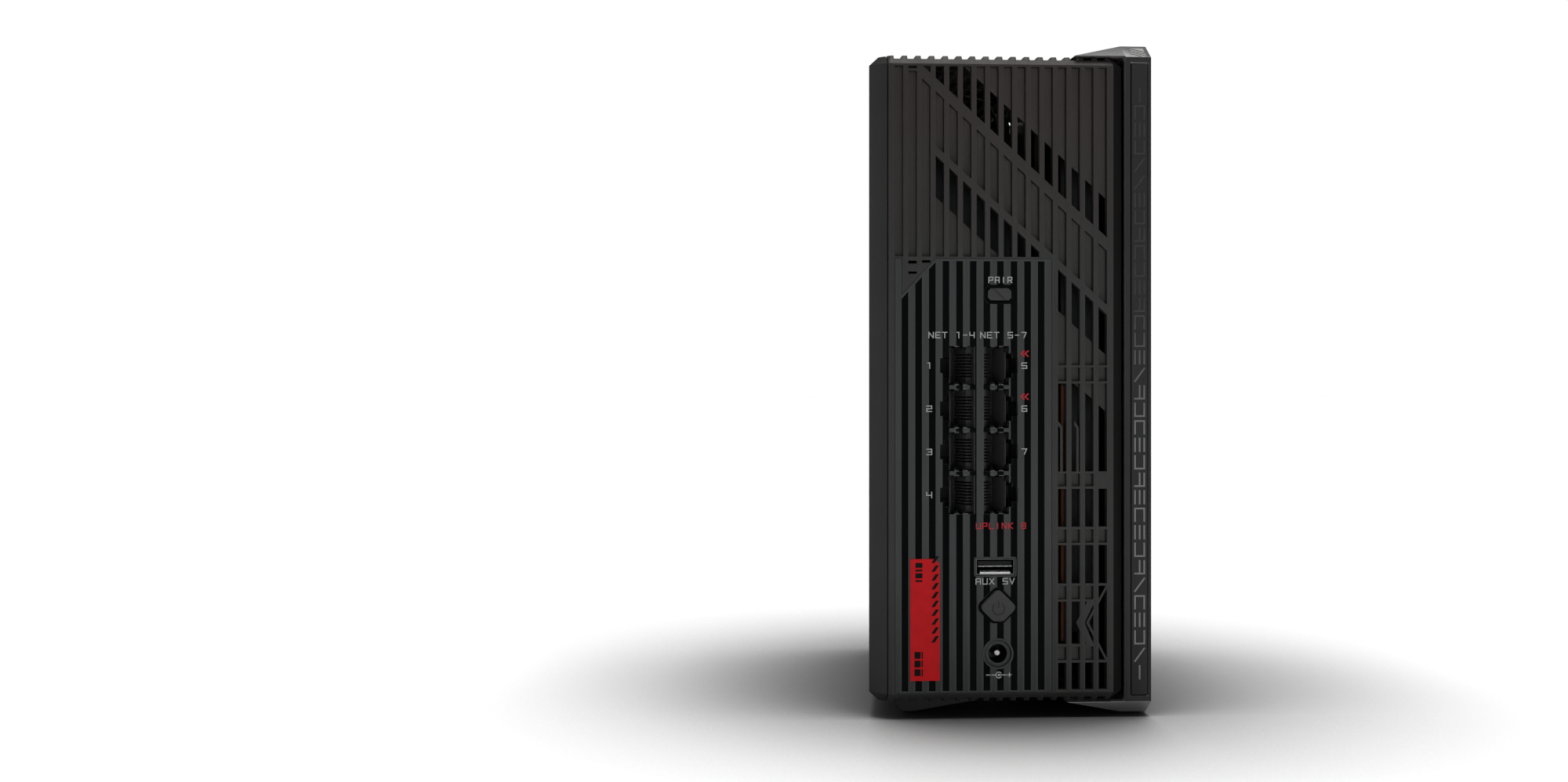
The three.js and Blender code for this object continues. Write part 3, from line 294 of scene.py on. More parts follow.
# lighter copies of the cover plastic: painted sheen on the upper wing slopes, painted reflection of the
# floor on their undersides, painted light on the shaded inner side
WING_PAINTED_SHEEN = moulded_plastic("wing_painted_sheen", (0.046, 0.046, 0.047), 0.35, specular=0.7)
WING_UNDERSIDE_PAINTED_REFLECTION = moulded_plastic("wing_underside_painted_reflection", (0.15, 0.15, 0.152), 0.35, specular=0.7)
COVER_INSIDE_PAINTED_LIGHT = moulded_plastic("cover_inside_painted_light", (0.08, 0.08, 0.081), 0.5, specular=0.18)
# glossy black of the groove floors, also used as a painted shadow on the buttons' bezels
GROOVE_BLACK_AND_PAINTED_SHADOW = gloss_plastic("groove_black_and_painted_shadow", (0.0012, 0.0015, 0.0017), 0.2, 0.02)
DULL_STEEL = sheet_metal("dull_steel", (0.1, 0.1, 0.102), 0.35, (1.0, 0.1, 1.0))
SOCKET_GREY = moulded_plastic("socket_grey", (0.035, 0.0355, 0.036), 0.5, edge_rub_and_highlight_amount=0.1, specular=0.25)
# lighter copy of the case plastic for the slot floors: painted light against the shade in the recess
SLOT_FLOOR_PAINTED_LIGHT = moulded_plastic("slot_floor_painted_light", LIT_SLOT_FLOOR_UPPER, 0.6, 0.0, specular=0.2, foot=LIT_SLOT_FLOOR_FOOT)
SPRING_STEEL = sheet_metal("spring_steel", (0.3, 0.3, 0.31), 0.28, (1.0, 1.0, 0.06), 700.0)
MARK_DARK = printed("mark_dark", (0.013, 0.013, 0.0135), 0.6)
# white print for the signs, also used as the painted reflection on the fin's bevelled end
WHITE_INK_AND_PAINTED_REFLECTION = printed("white_ink_and_painted_reflection", (0.27, 0.27, 0.266), 0.5)
RED_INK = printed("red_ink", (0.31, 0.01, 0.017), 0.5)
BLACK_INK = printed("black_ink", (0.004, 0.004, 0.004), 0.5, 0.05)


# ---------------------------------------------------------------- mesh helpers


def link(name, mesh, material, body):
    piece = bpy.data.objects.new(name, mesh)
    bpy.context.scene.collection.objects.link(piece)
    mesh.materials.append(material)
    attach(piece, body)
    return piece


def soften(piece, width, segments=2, angle=30.0):
    """Rounded edges on every corner sharper than the angle."""
    piece.data.polygons.foreach_set("use_smooth", [True] * len(piece.data.polygons))
    bevel = piece.modifiers.new("edges", "BEVEL")
    bevel.width = width * MM
    bevel.segments = segments
    bevel.limit_method = "ANGLE"
    bevel.angle_limit = math.radians(angle)
    bevel.harden_normals = True
    bevel.use_clamp_overlap = True
    bevel.miter_outer = "MITER_ARC"
    return piece


SAME_PLACE, ON_PLANE = 2e-6, 1e-7  # metres
FLAT_ANGLE = math.radians(0.6)


def merge_flats(bm, cuts):
    """Merges coplanar triangles. The cut planes keep every merged face free of holes."""
    bmesh.ops.remove_doubles(bm, verts=bm.verts, dist=SAME_PLACE)
    for axis, places in cuts.items():
        normal = Vector([float(axis == letter) for letter in "xyz"])
        for place in places:
            plane = {"plane_co": normal * place * MM, "plane_no": normal, "dist": ON_PLANE}
            made = bmesh.ops.bisect_plane(bm, geom=bm.verts[:] + bm.edges[:] + bm.faces[:], **plane)
            for edge in made["geom_cut"]:
                if isinstance(edge, bmesh.types.BMEdge):
                    edge.seam = True
    bmesh.ops.dissolve_limit(bm, angle_limit=FLAT_ANGLE, verts=bm.verts, edges=bm.edges, delimit={"SEAM"})


def refine(node, width, segments=2, angle=30.0, recolour=None, cuts=None):
    """A copy of a CAD node with its flat faces merged and its edges rounded, standing for that node."""
    source = frame["nodes"][node]
    body = next(name for name, nodes in BODIES.items() if node in nodes)
    bm = bmesh.new()
    bm.from_mesh(source.data)
    merge_flats(bm, cuts or {})
    mesh = bpy.data.meshes.new(node + "_fine")
    bm.to_mesh(mesh)
    bm.free()
    slot = SLOT_OF[node]
    mesh.materials.clear()
    piece = link(node + "_fine", mesh, MATERIALS[slot], body)
    if recolour:
        recolour(mesh)
    soften(piece, width, segments, angle)
    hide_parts(node)
    return piece


def add_prism(bm, points, low, high, axis="y"):
    """A closed prism over an outline, given in millimetres, between two depths along the axis."""
    place = {
        "x": lambda a, b, c: mm(c, a, b),
        "y": lambda a, b, c: mm(a, c, b),
        "z": lambda a, b, c: mm(a, b, c),
    }[axis]
    near = [bm.verts.new(place(a, b, low)) for a, b in points]
    far = [bm.verts.new(place(a, b, high)) for a, b in points]
    count = len(points)
    bm.faces.new(near)
    bm.faces.new(far[::-1])
    for i in range(count):
        j = (i + 1) % count
        bm.faces.new((near[j], near[i], far[i], far[j]))


def add_box(bm, x, y, z):
    add_prism(bm, [(x[0], z[0]), (x[1], z[0]), (x[1], z[1]), (x[0], z[1])], y[0], y[1])


def finish_mesh(bm, name, material, body=HOUSING, width=0.0, segments=2):
    bmesh.ops.recalc_face_normals(bm, faces=bm.faces)
    mesh = bpy.data.meshes.new(name)
    bm.to_mesh(mesh)
    bm.free()
    piece = link(name, mesh, material, body)
    if width:
        soften(piece, width, segments)
    return piece


def bar(start, end, half):
    """Outline of a straight stroke between two points."""
    a, b = Vector(start), Vector(end)
    along = (b - a).normalized()
    side = Vector((-along.y, along.x)) * half
    reach = along * half
    corners = (a - reach + side, a - reach - side, b + reach - side, b + reach + side)
    return [tuple(corner) for corner in corners]


# ---------------------------------------------------------------- shells and covers


FACING = 0.9  # least Y part of the normal of a face that looks to the rear
SAME_DEPTH = 0.05  # millimetres


def dull_steel(mesh):
    mesh.materials[0] = DULL_STEEL


def grey_collar(mesh):
    """The inlet's collar shows the panel's grey on its face and is black inside."""
    mesh.materials.append(MATERIALS["panel_plastic"])
    for face in mesh.polygons:
        if face.normal.y < -FACING and face.center.y / MM < COLLAR_FACE:
            face.material_index = 1


def faces_at(mesh, depth):
    """Faces that look to the rear and lie at this depth."""
    rear_faces = [face for face in mesh.polygons if face.normal.y < -FACING]
    return [face for face in rear_faces if abs(face.center.y / MM - depth) < SAME_DEPTH]


def blacken_grooves_and_paint_bezel_shadows(mesh):
    """Gives the floors of the socket panel's grooves their glossy black, and paints the buttons' bezels the
    same black as a painted shadow in the gap round each button.
    """
    mesh.materials.append(GROOVE_BLACK_AND_PAINTED_SHADOW)
    for face in faces_at(mesh, GROOVE_FLOOR):
        face.material_index = 1
    # painted shadow: the bezel round each button is blackened to stand for the shaded gap
    for button, reach in ((PAIRING, PAIRING_SHADOW_REACH), (POWER, POWER_SHADOW_REACH)):
        for face in faces_at(mesh, BEZEL_FACE):
            if abs(face.center.z / MM - button.y) < reach:
                face.material_index = 1


def paint_light_on_slot_floors(mesh):
    """Gives the floors of the rear slots a lighter, browner copy of the case plastic: painted light against
    the shade in the deep slots.
    """
    mesh.materials.append(SLOT_FLOOR_PAINTED_LIGHT)
    for face in faces_at(mesh, SLOT_BOTTOM):
        face.material_index = 1


# On the right cover, in millimetres: the height of its middle, and how far from it the wings begin.
COVER_MIDDLE, WING_START = 110.0, 95.0
WING_SLOPE, INWARD = 0.2, 0.8  # least Z part of a wing's normal, and X part of the inner side's


def paint_light_on_wings(mesh):
    """Paints light on the right cover: a painted sheen on the wings' upward slopes, a painted reflection of
    the floor under them and painted light on the shaded inner side.
    """
    for material in (WING_PAINTED_SHEEN, WING_UNDERSIDE_PAINTED_REFLECTION, COVER_INSIDE_PAINTED_LIGHT):
        mesh.materials.append(material)
    for face in mesh.polygons:
        at_end = abs(face.center.z / MM - COVER_MIDDLE) > WING_START
        if at_end and abs(face.normal.z) > WING_SLOPE:
            # upward wing faces get the painted sheen, downward ones the painted reflection of the floor
            face.material_index = 1 if face.normal.z > 0.0 else 2
        elif not at_end and face.normal.x < -INWARD:
            # the inner side beside the channel gets painted light
            face.material_index = 3


SLOT_START, SLOT_WIDTH, LAST_SLOT = -33.85, 2.78, 14
slot_middles = [SLOT_START + SLOT_WIDTH / 2 + RIB_PITCH * k for k in range(-1, LAST_SLOT + 1)]
rib_middles = [middle - RIB_PITCH / 2 for middle in slot_middles]
grid_cuts = {"x": sorted(slot_middles + rib_middles)}
GRILLE_EDGE, COVER_EDGE, GUIDE_EDGE = 0.14, 0.35, 0.3  # widths of rounded edges
refine("rear_grille", GRILLE_EDGE, recolour=paint_light_on_slot_floors, cuts=grid_cuts)
refine("port_panel", 0.12, recolour=blacken_grooves_and_paint_bezel_shadows, cuts=grid_cuts)
refine("left_side_cover", COVER_EDGE, 3)
refine("right_cover", COVER_EDGE, 3, recolour=paint_light_on_wings, cuts={"y": [0.0], "z": [COVER_MIDDLE]})
refine("channel_wall", GUIDE_EDGE)
for grille in ("top_grille", "base_tray", "front_cover"):
    refine(grille, GRILLE_EDGE, cuts=grid_cuts)
refine("front_light_guide", GUIDE_EDGE)
refine("left_foot", 0.5, 3)
refine("fin_insert", 0.15)
refine("pairing_button", 0.22, 3)
power_button = refine("power_button", 0.45, 4)
refine("dc_jack_body", 0.15, 2, recolour=grey_collar, cuts={"x": [INLET.x], "z": [INLET.y]})
refine("dc_jack_pin", 0.12, 2)
refine("usb_shell", 0.1, 2, recolour=dull_steel)
refine("usb_tongue", 0.1, 2)

for name, node in frame["nodes"].items():
    node.data.materials.clear()
    node.data.materials.append(MATERIALS[SLOT_OF[name]])

# ---------------------------------------------------------------- ribs under the top plate

RIB_START, RIB_STEP, RIB_COUNT, RIB_WIDTH = -58.0, 5.5, 21, 1.2  # along Y
RIB_LEFT, RIB_LEAN, RIB_RIGHT = -38.0, 0.1427, 33.0  # the left ends follow the leaning side
RIB_UNDER, RIB_TOP = 211.9, 213.05


def top_ribs():
    """Thin cross ribs that stiffen the top plate and screen its vents."""
    bm = bmesh.new()
    for i in range(RIB_COUNT):
        y = RIB_START + RIB_STEP * i
        left = RIB_LEFT + RIB_LEAN * (y - RIB_START)
        add_box(bm, (left, RIB_RIGHT), (y, y + RIB_WIDTH), (RIB_UNDER, RIB_TOP))
    finish_mesh(bm, "top_ribs", MATERIALS["case_plastic"])


top_ribs()

# ---------------------------------------------------------------- network sockets

# Outlines inside one socket, in millimetres: distance from its inner wall, and depth along Y.
GUIDE = [(0.02, -66.2), (1.9, -66.2), (4.6, -60.6), (4.6, -59.8), (0.02, -59.8)]
LINING = [(0.02, -72.6), (0.2, -72.6), (0.2, -66.4), (0.02, -66.4)]
SLOPED_WALL = [(7.7, -69.6), (7.9, -69.6), (5.4, -59.9), (5.2, -59.9)]
WIRE = [(0.3, -70.2), (0.5, -70.3), (4.2, -61.1), (4.0, -61.0)]
SIDE_LEAF = [(8.4, -72.4), (7.9, -70.6), (7.5, -69.0), (7.6, -67.2), (8.2, -64.0)]

SOCKET_HALF = 6.2  # half the height of a socket
SLOPED_HALF = 5.8
SOCKET_BACK = (-57.3, -57.1)
BACK_NEAR, BACK_FAR = 0.1, 9.6  # the back wall's ends, from the inner wall
NOTCH_HALF = 2.3  # half the height of the latch's notch
WIRES = 8
WIRE_HALF = 0.11
GUIDE_GAP = 0.5
BACK_LOW, BACK_HIGH = NOTCH_HALF + 0.1, SOCKET_HALF + 0.05  # the back wall's outer parts
LEAF_LOW, LEAF_HIGH = 4.3, 5.9  # the side leaves, from a socket's middle
LEAF_THICK = 0.1
SIDE_LEAF_SHIFT = (0.12, 0.06)  # from a side leaf's outer outline to its inner one
FLOOR_LEAF_STARTS, FLOOR_LEAF_WIDTH = (2.4, 5.2), 1.5
FLOOR_LEAF_DEPTHS, FLOOR_LEAF_RISE = (-72.2, -69.4, -66.5), 0.8

socket_rows = [JACK_TOP_ROW - JACK_PITCH * row for row in range(JACK_ROWS)]


class SocketColumn:
    """One column of four sockets: its inner wall, its latch notches and the way from one to the other."""

    def __init__(self, inner, notch):
        self.inner, self.notch = inner, notch
        self.side = 1 if notch < inner else -1

    def off(self, distance):
        return self.inner - self.side * distance

    def outline(self, points):
        return [(self.off(distance), depth) for distance, depth in points]

    def span(self, near, far):
        return sorted((self.off(near), self.off(far)))


def add_guides(bm, column, z):
    """Nine guides with a contact slot between each two, a lining beside them and a sloped wall opposite."""
    half = (CONTACT_PITCH - GUIDE_GAP) / 2
    for i in range(WIRES + 1):
        middle = z + (i - WIRES / 2) * CONTACT_PITCH
        low = z - SOCKET_HALF if i == 0 else middle - half
        high = z + SOCKET_HALF if i == WIRES else middle + half
        add_prism(bm, column.outline(GUIDE), low, high, "z")
    add_prism(bm, column.outline(LINING), z - SOCKET_HALF, z + SOCKET_HALF, "z")
    add_prism(bm, column.outline(SLOPED_WALL), z - SLOPED_HALF, z + SLOPED_HALF, "z")


def add_wires(bm, column, z):
    for i in range(WIRES):
        middle = z + (i - (WIRES - 1) / 2) * CONTACT_PITCH
        add_prism(bm, column.outline(WIRE), middle - WIRE_HALF, middle + WIRE_HALF, "z")


def add_back(bm, column, z):
    """Back wall of a socket in three parts: the middle one reaches into the latch's notch."""
    notch_wall = column.notch + column.side * BACK_NEAR
    middle_part = sorted((column.off(BACK_NEAR), notch_wall))
    add_box(bm, middle_part, SOCKET_BACK, (z - NOTCH_HALF, z + NOTCH_HALF))
    add_box(bm, column.span(BACK_NEAR, BACK_FAR), SOCKET_BACK, (z + BACK_LOW, z + BACK_HIGH))
    add_box(bm, column.span(BACK_NEAR, BACK_FAR), SOCKET_BACK, (z - BACK_HIGH, z - BACK_LOW))


def add_springs(bm, column, z):
    """Sprung leaves of the shield: two at the latch side of a socket and two on its floor and roof."""
    away, deeper = SIDE_LEAF_SHIFT
    inside = [(distance + away, depth + deeper) for distance, depth in reversed(SIDE_LEAF)]
    section = column.outline(SIDE_LEAF + inside)
    add_prism(bm, section, z - LEAF_HIGH, z - LEAF_LOW, "z")
    add_prism(bm, section, z + LEAF_LOW, z + LEAF_HIGH, "z")
    for level in (-1, 1):
        face = z + level * SOCKET_HALF
        crest = z + level * (SOCKET_HALF - FLOOR_LEAF_RISE)
        leaf = list(zip(FLOOR_LEAF_DEPTHS, (face, crest, face - level * LEAF_THICK)))
        under = [(depth, height + level * LEAF_THICK) for depth, height in reversed(leaf)]
        for start in FLOOR_LEAF_STARTS:
            add_prism(bm, leaf + under, *column.span(start, start + FLOOR_LEAF_WIDTH), "x")


def socket_insides():
    """Slotted guides, contact wires, back walls and shield springs of the eight sockets."""
    guides, backs, springs = bmesh.new(), bmesh.new(), bmesh.new()
    columns = [("left", LEFT_INNER, LEFT_NOTCH), ("right", RIGHT_INNER, RIGHT_NOTCH)]
    for side, inner, notch in columns:
        column = SocketColumn(inner, notch)
        wires = bmesh.new()
        for z in socket_rows:
            add_guides(guides, column, z)
            add_wires(wires, column, z)
            add_back(backs, column, z)
            add_springs(springs, column, z)
        name = "jack_contacts_" + side
        gold = MATERIALS["contact_gold"]
        piece = finish_mesh(wires, name + "_fine", gold, width=0.03)
        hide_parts(name)
    finish_mesh(guides, "socket_guides", SOCKET_GREY, width=0.06)
    finish_mesh(backs, "socket_back_walls", SOCKET_GREY, width=0.05)
    finish_mesh(springs, "socket_shield_springs", SPRING_STEEL, width=0.03, segments=1)


socket_insides()


# ---------------------------------------------------------------- USB socket and button marks

TONGUE_UNDER = 49.5  # lower face of the USB socket's tongue
STRIP_HALF, STRIP_DEPTHS = 5.5, (-72.3, -66.0)
STRIP_HEIGHTS = (TONGUE_UNDER - 0.16, TONGUE_UNDER + 0.08)
USB_PITCH, USB_CONTACTS, USB_CONTACT_HALF = 2.5, 4, 0.5
USB_CONTACT_DEPTHS = (-71.6, -62.0)
USB_CONTACT_HEIGHTS = (TONGUE_UNDER - 0.3, TONGUE_UNDER - 0.12)
USB_LIP = [(-72.8, 46.9), (-72.8, 47.6), (-71.9, 48.15), (-69.5, 47.6), (-69.5, 47.2), (-72.3, 46.9)]
USB_LIP_HALF = 5.0


def usb_details():
    """Contact strip on the tongue's lower edge and the sprung lip on the shell's floor."""
    bm = bmesh.new()
    add_box(bm, (USB.x - STRIP_HALF, USB.x + STRIP_HALF), STRIP_DEPTHS, STRIP_HEIGHTS)
    for i in range(USB_CONTACTS):
        x = USB.x + (i - (USB_CONTACTS - 1) / 2) * USB_PITCH
        width = (x - USB_CONTACT_HALF, x + USB_CONTACT_HALF)
        add_box(bm, width, USB_CONTACT_DEPTHS, USB_CONTACT_HEIGHTS)
    add_prism(bm, USB_LIP, USB.x - USB_LIP_HALF, USB.x + USB_LIP_HALF, "x")
    finish_mesh(bm, "usb_contacts", MATERIALS["bright_steel"], width=0.06)


def arc(centre, radius, start, end, steps):
    angles = [start + (end - start) * i / steps for i in range(steps + 1)]
    return [(centre.x + radius * math.cos(a), centre.y + radius * math.sin(a)) for a in angles]


POWER_FACE = -74.94
RELIEF = (POWER_FACE - 0.05, POWER_FACE + 0.1)
MARK_DROP = 0.35  # the mark's centre is this far below the button's
MARK_OUTER, MARK_INNER = 2.15, 1.75
MARK_GAP = math.radians(38.0)  # half of the ring's opening
MARK_BAR_HALF, MARK_BAR_LOW, MARK_BAR_HIGH = 0.2, 0.4, 2.5
MARK_STEPS = 28


def power_mark():
    """Open ring and bar on the power button, the usual sign for on and off."""
    bm = bmesh.new()
    start = math.radians(90.0) + MARK_GAP
    end = math.radians(450.0) - MARK_GAP
    centre = POWER - Vector((0.0, MARK_DROP))
    outer = arc(centre, MARK_OUTER, start, end, MARK_STEPS)
    inner = arc(centre, MARK_INNER, end, start, MARK_STEPS)
    add_prism(bm, outer + inner, *RELIEF)
    bar_x = (centre.x - MARK_BAR_HALF, centre.x + MARK_BAR_HALF)
    add_box(bm, bar_x, RELIEF, (centre.y + MARK_BAR_LOW, centre.y + MARK_BAR_HIGH))
    finish_mesh(bm, "power_mark", MARK_DARK, body="power_button")


def lower_face(piece, place):
    """Takes the rear face of a replacing mesh back to this place, to leave room for its raised mark."""
    for vertex in piece.data.vertices:
        vertex.co.y = max(vertex.co.y, place * MM)


usb_details()
lower_face(power_button, POWER_FACE)
power_mark()


# ---------------------------------------------------------------- printed signs on the socket face

# Block characters as polylines in a unit box. They name sockets in a plain, generic way.
GLYPHS = {
    "1": [[(0.2, 1), (0.6, 1), (0.6, 0)]],
    "2": [[(0, 1), (1, 1), (1, 0.5), (0, 0.5), (0, 0), (1, 0)]],
    "3": [[(0, 1), (1, 1), (1, 0), (0, 0)], [(0.35, 0.5), (1, 0.5)]],
    "4": [[(0, 1), (0, 0.45), (1, 0.45)], [(1, 1), (1, 0)]],
    "5": [[(1, 1), (0, 1), (0, 0.5), (1, 0.5), (1, 0), (0, 0)]],
    "6": [[(1, 1), (0, 1), (0, 0), (1, 0), (1, 0.5), (0, 0.5)]],
    "7": [[(0, 1), (1, 1), (0.5, 0)]],
    "8": [[(0, 0), (0, 1), (1, 1), (1, 0), (0, 0)], [(0, 0.5), (1, 0.5)]],
    "A": [[(0, 0), (0, 1), (1, 1), (1, 0)], [(0, 0.45), (1, 0.45)]],
    "I": [[(0.5, 0), (0.5, 1)]],
    "E": [[(1, 1), (0, 1), (0, 0), (1, 0)], [(0, 0.5), (0.8, 0.5)]],
    "K": [[(0, 0), (0, 1)], [(1, 1), (0.15, 0.5)], [(0.15, 0.5), (1, 0)]],
    "L": [[(0, 1), (0, 0), (1, 0)]],
    "N": [[(0, 0), (0, 1), (1, 0), (1, 1)]],
    "P": [[(0, 0), (0, 1), (1, 1), (1, 0.45), (0, 0.45)]],
    "R": [[(0, 0), (0, 1), (1, 1), (1, 0.45), (0, 0.45)], [(0.45, 0.45), (1, 0)]],
    "T": [[(0, 1), (1, 1)], [(0.5, 1), (0.5, 0)]],
    "U": [[(0, 1), (0, 0), (1, 0), (1, 1)]],
    "V": [[(0, 1), (0.5, 0), (1, 1)]],
    "X": [[(0, 1), (1, 0)], [(0, 0), (1, 1)]],
    "-": [[(0.1, 0.5), (0.9, 0.5)]],
    " ": [],
}
INK_PROUD = 0.03
INK_STEP = 0.003  # strokes that cross differ by this much in height
SIGN_HEIGHT = 2.05
SIGN_STROKE = 0.14  # half the width of a stroke
SIGN_GAP = 0.5


def write(bm, word, left, right, middle):
    """One word in block characters, filling the width between left and right."""
    pitch = (right - left + SIGN_GAP) / len(word)
    width = pitch - SIGN_GAP - 2 * SIGN_STROKE
    height = SIGN_HEIGHT - 2 * SIGN_STROKE
    for place, letter in enumerate(word):
        corner = Vector((left + SIGN_STROKE + pitch * place, middle - height / 2))
        spots = [[corner + Vector((a * width, b * height)) for a, b in line] for line in GLYPHS[letter]]
        add_strokes(bm, [pair for line in spots for pair in zip(line, line[1:])], SIGN_STROKE)


def add_strokes(bm, strokes, half, step=INK_STEP):
    """Ink strokes from start to end, each a little prouder than the one before it."""
    for level, (start, end) in enumerate(strokes):
        add_prism(bm, bar(start, end, half), REAR - INK_PROUD - step * level, GROOVE_FLOOR)


# Each word with its left end, right end and the height of its middle, in millimetres.
WORDS = [
    ("PAIR", -7.7, 0.1, 142.4),
    ("NET 1-4", -27.3, -12.2, 124.5),
    ("NET 5-7", -10.4, 4.8, 124.5),
    ("AUX 5V", -11.9, 0.9, 44.6),
]
RED_WORD = ("UPLINK 8", -11.8, 4.6, 62.6)
LEFT_NUMBER, RIGHT_NUMBER = (-28.0, -26.1), (3.1, 5.0)


def white_signs():
    """The sockets' names and numbers. The last socket on the right has its name in red instead."""
    bm = bmesh.new()
    for word, left, right, middle in WORDS:
        write(bm, word, left, right, middle)
    for row, z in enumerate(socket_rows):
        write(bm, str(row + 1), *LEFT_NUMBER, z)
        if row < JACK_ROWS - 1:
            write(bm, str(row + JACK_ROWS + 1), *RIGHT_NUMBER, z)
    polarity_sign(bm, INLET + POLARITY_PLACE)
    finish_mesh(bm, "socket_signs", WHITE_INK_AND_PAINTED_REFLECTION)


POLARITY_PLACE = Vector((0.3, -6.9))  # from the inlet's centre
# Minus on the left, plus on the right, and the leads to the ring and to the dot.
POLARITY_STROKES = [
    ((-4.0, 0.0), (-2.9, 0.0)),
    ((2.9, 0.0), (4.0, 0.0)),
    ((3.45, -0.55), (3.45, 0.55)),
    ((-2.3, 0.0), (-1.1, 0.0)),
    ((0.3, 0.0), (2.3, 0.0)),
]
POLARITY_HALF = 0.15
RING_OUTER, RING_INNER, RING_GAP = 1.1, 0.8, math.radians(35.0)
RING_STEPS = 20
DOT_RADIUS, DOT_PROUD = 0.4, 0.05
DOT_STEPS, DOT_END = 12, math.radians(345.0)


def polarity_sign(bm, centre):
    """Centre-positive polarity sign of the power inlet."""
    strokes = [(centre + Vector(start), centre + Vector(end)) for start, end in POLARITY_STROKES]
    add_strokes(bm, strokes, POLARITY_HALF)
    end = math.radians(360.0) - RING_GAP
    outer = arc(centre, RING_OUTER, RING_GAP, end, RING_STEPS)
    inner = arc(centre, RING_INNER, end, RING_GAP, RING_STEPS)
    add_prism(bm, outer + inner, REAR - INK_PROUD, GROOVE_FLOOR)
    add_prism(bm, arc(centre, DOT_RADIUS, 0.0, DOT_END, DOT_STEPS), REAR - DOT_PROUD, GROOVE_FLOOR)


CHEVRON_X, CHEVRON_RISE = 4.3, 3.9  # tip of the right one, and how far above a socket's middle
CHEVRON_STEP, CHEVRON_HALF = 1.3, 0.2
CHEVRON_ARM = (1.0, 0.85)
CHEVRON_INK_STEP = 0.004


def red_signs():
    """The wide-area socket's name, and a plain chevron beside the two fast sockets."""
    bm = bmesh.new()
    write(bm, *RED_WORD)
    reach, rise = CHEVRON_ARM
    for z in socket_rows[:2]:
        for shift in (0.0, CHEVRON_STEP):
            tip = Vector((CHEVRON_X - shift, z + CHEVRON_RISE))
            arms = [(tip, tip + Vector((reach, -rise))), (tip, tip + Vector((reach, rise)))]
            add_strokes(bm, arms, CHEVRON_HALF, CHEVRON_INK_STEP)
    finish_mesh(bm, "red_signs", RED_INK)


LABEL_FACE = -73.3
LABEL_INK = (LABEL_FACE - 0.03, LABEL_FACE + 0.02)
SLASHES, SLASH_START, SLASH_PITCH = 10, 25.0, 2.86
SLASH_LEFT, SLASH_WIDTH, SLASH_RUN, SLASH_RISE = -26.4, 1.1, 1.4, 2.1
LOWER_BLOCKS = [(14.2, 16.4), (17.0, 19.2), (19.8, 22.0)]
LOWER_COLUMNS = [(-31.9, -29.9), (-29.6, -29.2)]
UPPER_BLOCKS = [(44.6, 45.2), (45.8, 47.4), (48.0, 48.6), (49.2, 50.8)]
UPPER_COLUMN = (-31.6, -29.3)


def label_marks():
    """Black slashes down the label's right edge and plain blocks at its ends, printed on the film."""
    bm = bmesh.new()
    for i in range(SLASHES):
        low = SLASH_START + SLASH_PITCH * i
        high = low + SLASH_RISE
        foot = [(SLASH_LEFT, low), (SLASH_LEFT + SLASH_WIDTH, low)]
        head = [(SLASH_LEFT + SLASH_WIDTH + SLASH_RUN, high), (SLASH_LEFT + SLASH_RUN, high)]
        add_prism(bm, foot + head, *LABEL_INK)
    for block in LOWER_BLOCKS:
        for column in LOWER_COLUMNS:
            add_box(bm, column, LABEL_INK, block)
    for block in UPPER_BLOCKS:
        add_box(bm, UPPER_COLUMN, LABEL_INK, block)
    finish_mesh(bm, "label_marks", BLACK_INK)


white_signs()
red_signs()
label_marks()


# ---------------------------------------------------------------- relief on the fin


def relief_material(name):
    """Satin relief whose tone drifts from light at the foot of the fin to dark at its top."""
    material, tree, shader = new_material(name)
    coords = add(tree, "ShaderNodeTexCoord").outputs["Object"]
    colour = height_blend(tree, coords, (0.1, 0.1, 0.101), (0.004, 0.004, 0.004), 0.09, 0.135)
    tree.links.new(colour, shader.inputs["Base Color"])
    tree.links.new(ramp(tree, noise(tree, coords, 700.0), 0.38, 0.5), shader.inputs["Roughness"])
    bump(tree, shader, [(noise(tree, coords, 1600.0, 2.0), 0.00001, 0.25)])
    return material


FIN_LEFT_MARK, FIN_RIGHT_MARK = 40.55, 43.6
FIN_FACE = (REAR - 0.06, REAR + 0.1)
FIN_STROKE = 0.27  # half the width of a stroke
FIN_START, FIN_END, FIN_GAP = 12.5, 205.0, 1.6
FIN_FIGURES = """
dash slash frame rails step slash hook frame rails step rails hook frame rails step frame hook slash
rails frame step hook rails frame step hook frame rails slash slash frame rails step dash
""".split()


def fin_strokes(kind, low, high):
    """Strokes of one plain figure on the fin, in X and Z."""
    left, right = FIN_LEFT_MARK, FIN_RIGHT_MARK
    middle = (left + right) / 2
    left_rail, right_rail, middle_rail = [((x, low), (x, high)) for x in (left, right, middle)]
    foot, head = [((left, z), (right, z)) for z in (low, high)]
    figures = {
        "frame": [left_rail, right_rail, foot],
        "rails": [left_rail, right_rail, middle_rail],
        "step": [left_rail, head, right_rail],
        "hook": [foot, right_rail, middle_rail],
        "slash": [((left, low), (right, high))],
        "dash": [middle_rail],
    }
    return figures[kind]


def fin_relief():
    """Low relief of plain figures, one above the other, on the insert of the fin."""
    bm = bmesh.new()
    pitch = (FIN_END - FIN_START + FIN_GAP) / len(FIN_FIGURES)
    for i, kind in enumerate(FIN_FIGURES):
        low = FIN_START + pitch * i
        for level, (first, last) in enumerate(fin_strokes(kind, low, low + pitch - FIN_GAP)):
            add_prism(bm, bar(first, last, FIN_STROKE), FIN_FACE[0] - INK_STEP * level, FIN_FACE[1])
    finish_mesh(bm, "fin_relief", relief_material("fin_relief"))


# The bevelled top end of the fin, in Y and Z, and the marks on it between two places in X.
END_LOW, END_HIGH = Vector((REAR, 215.3)), Vector((REAR + 7.0, 220.0))
HATCH_LEFT, HATCH_RIGHT = 39.9, 44.6
HATCH_LINES = 4
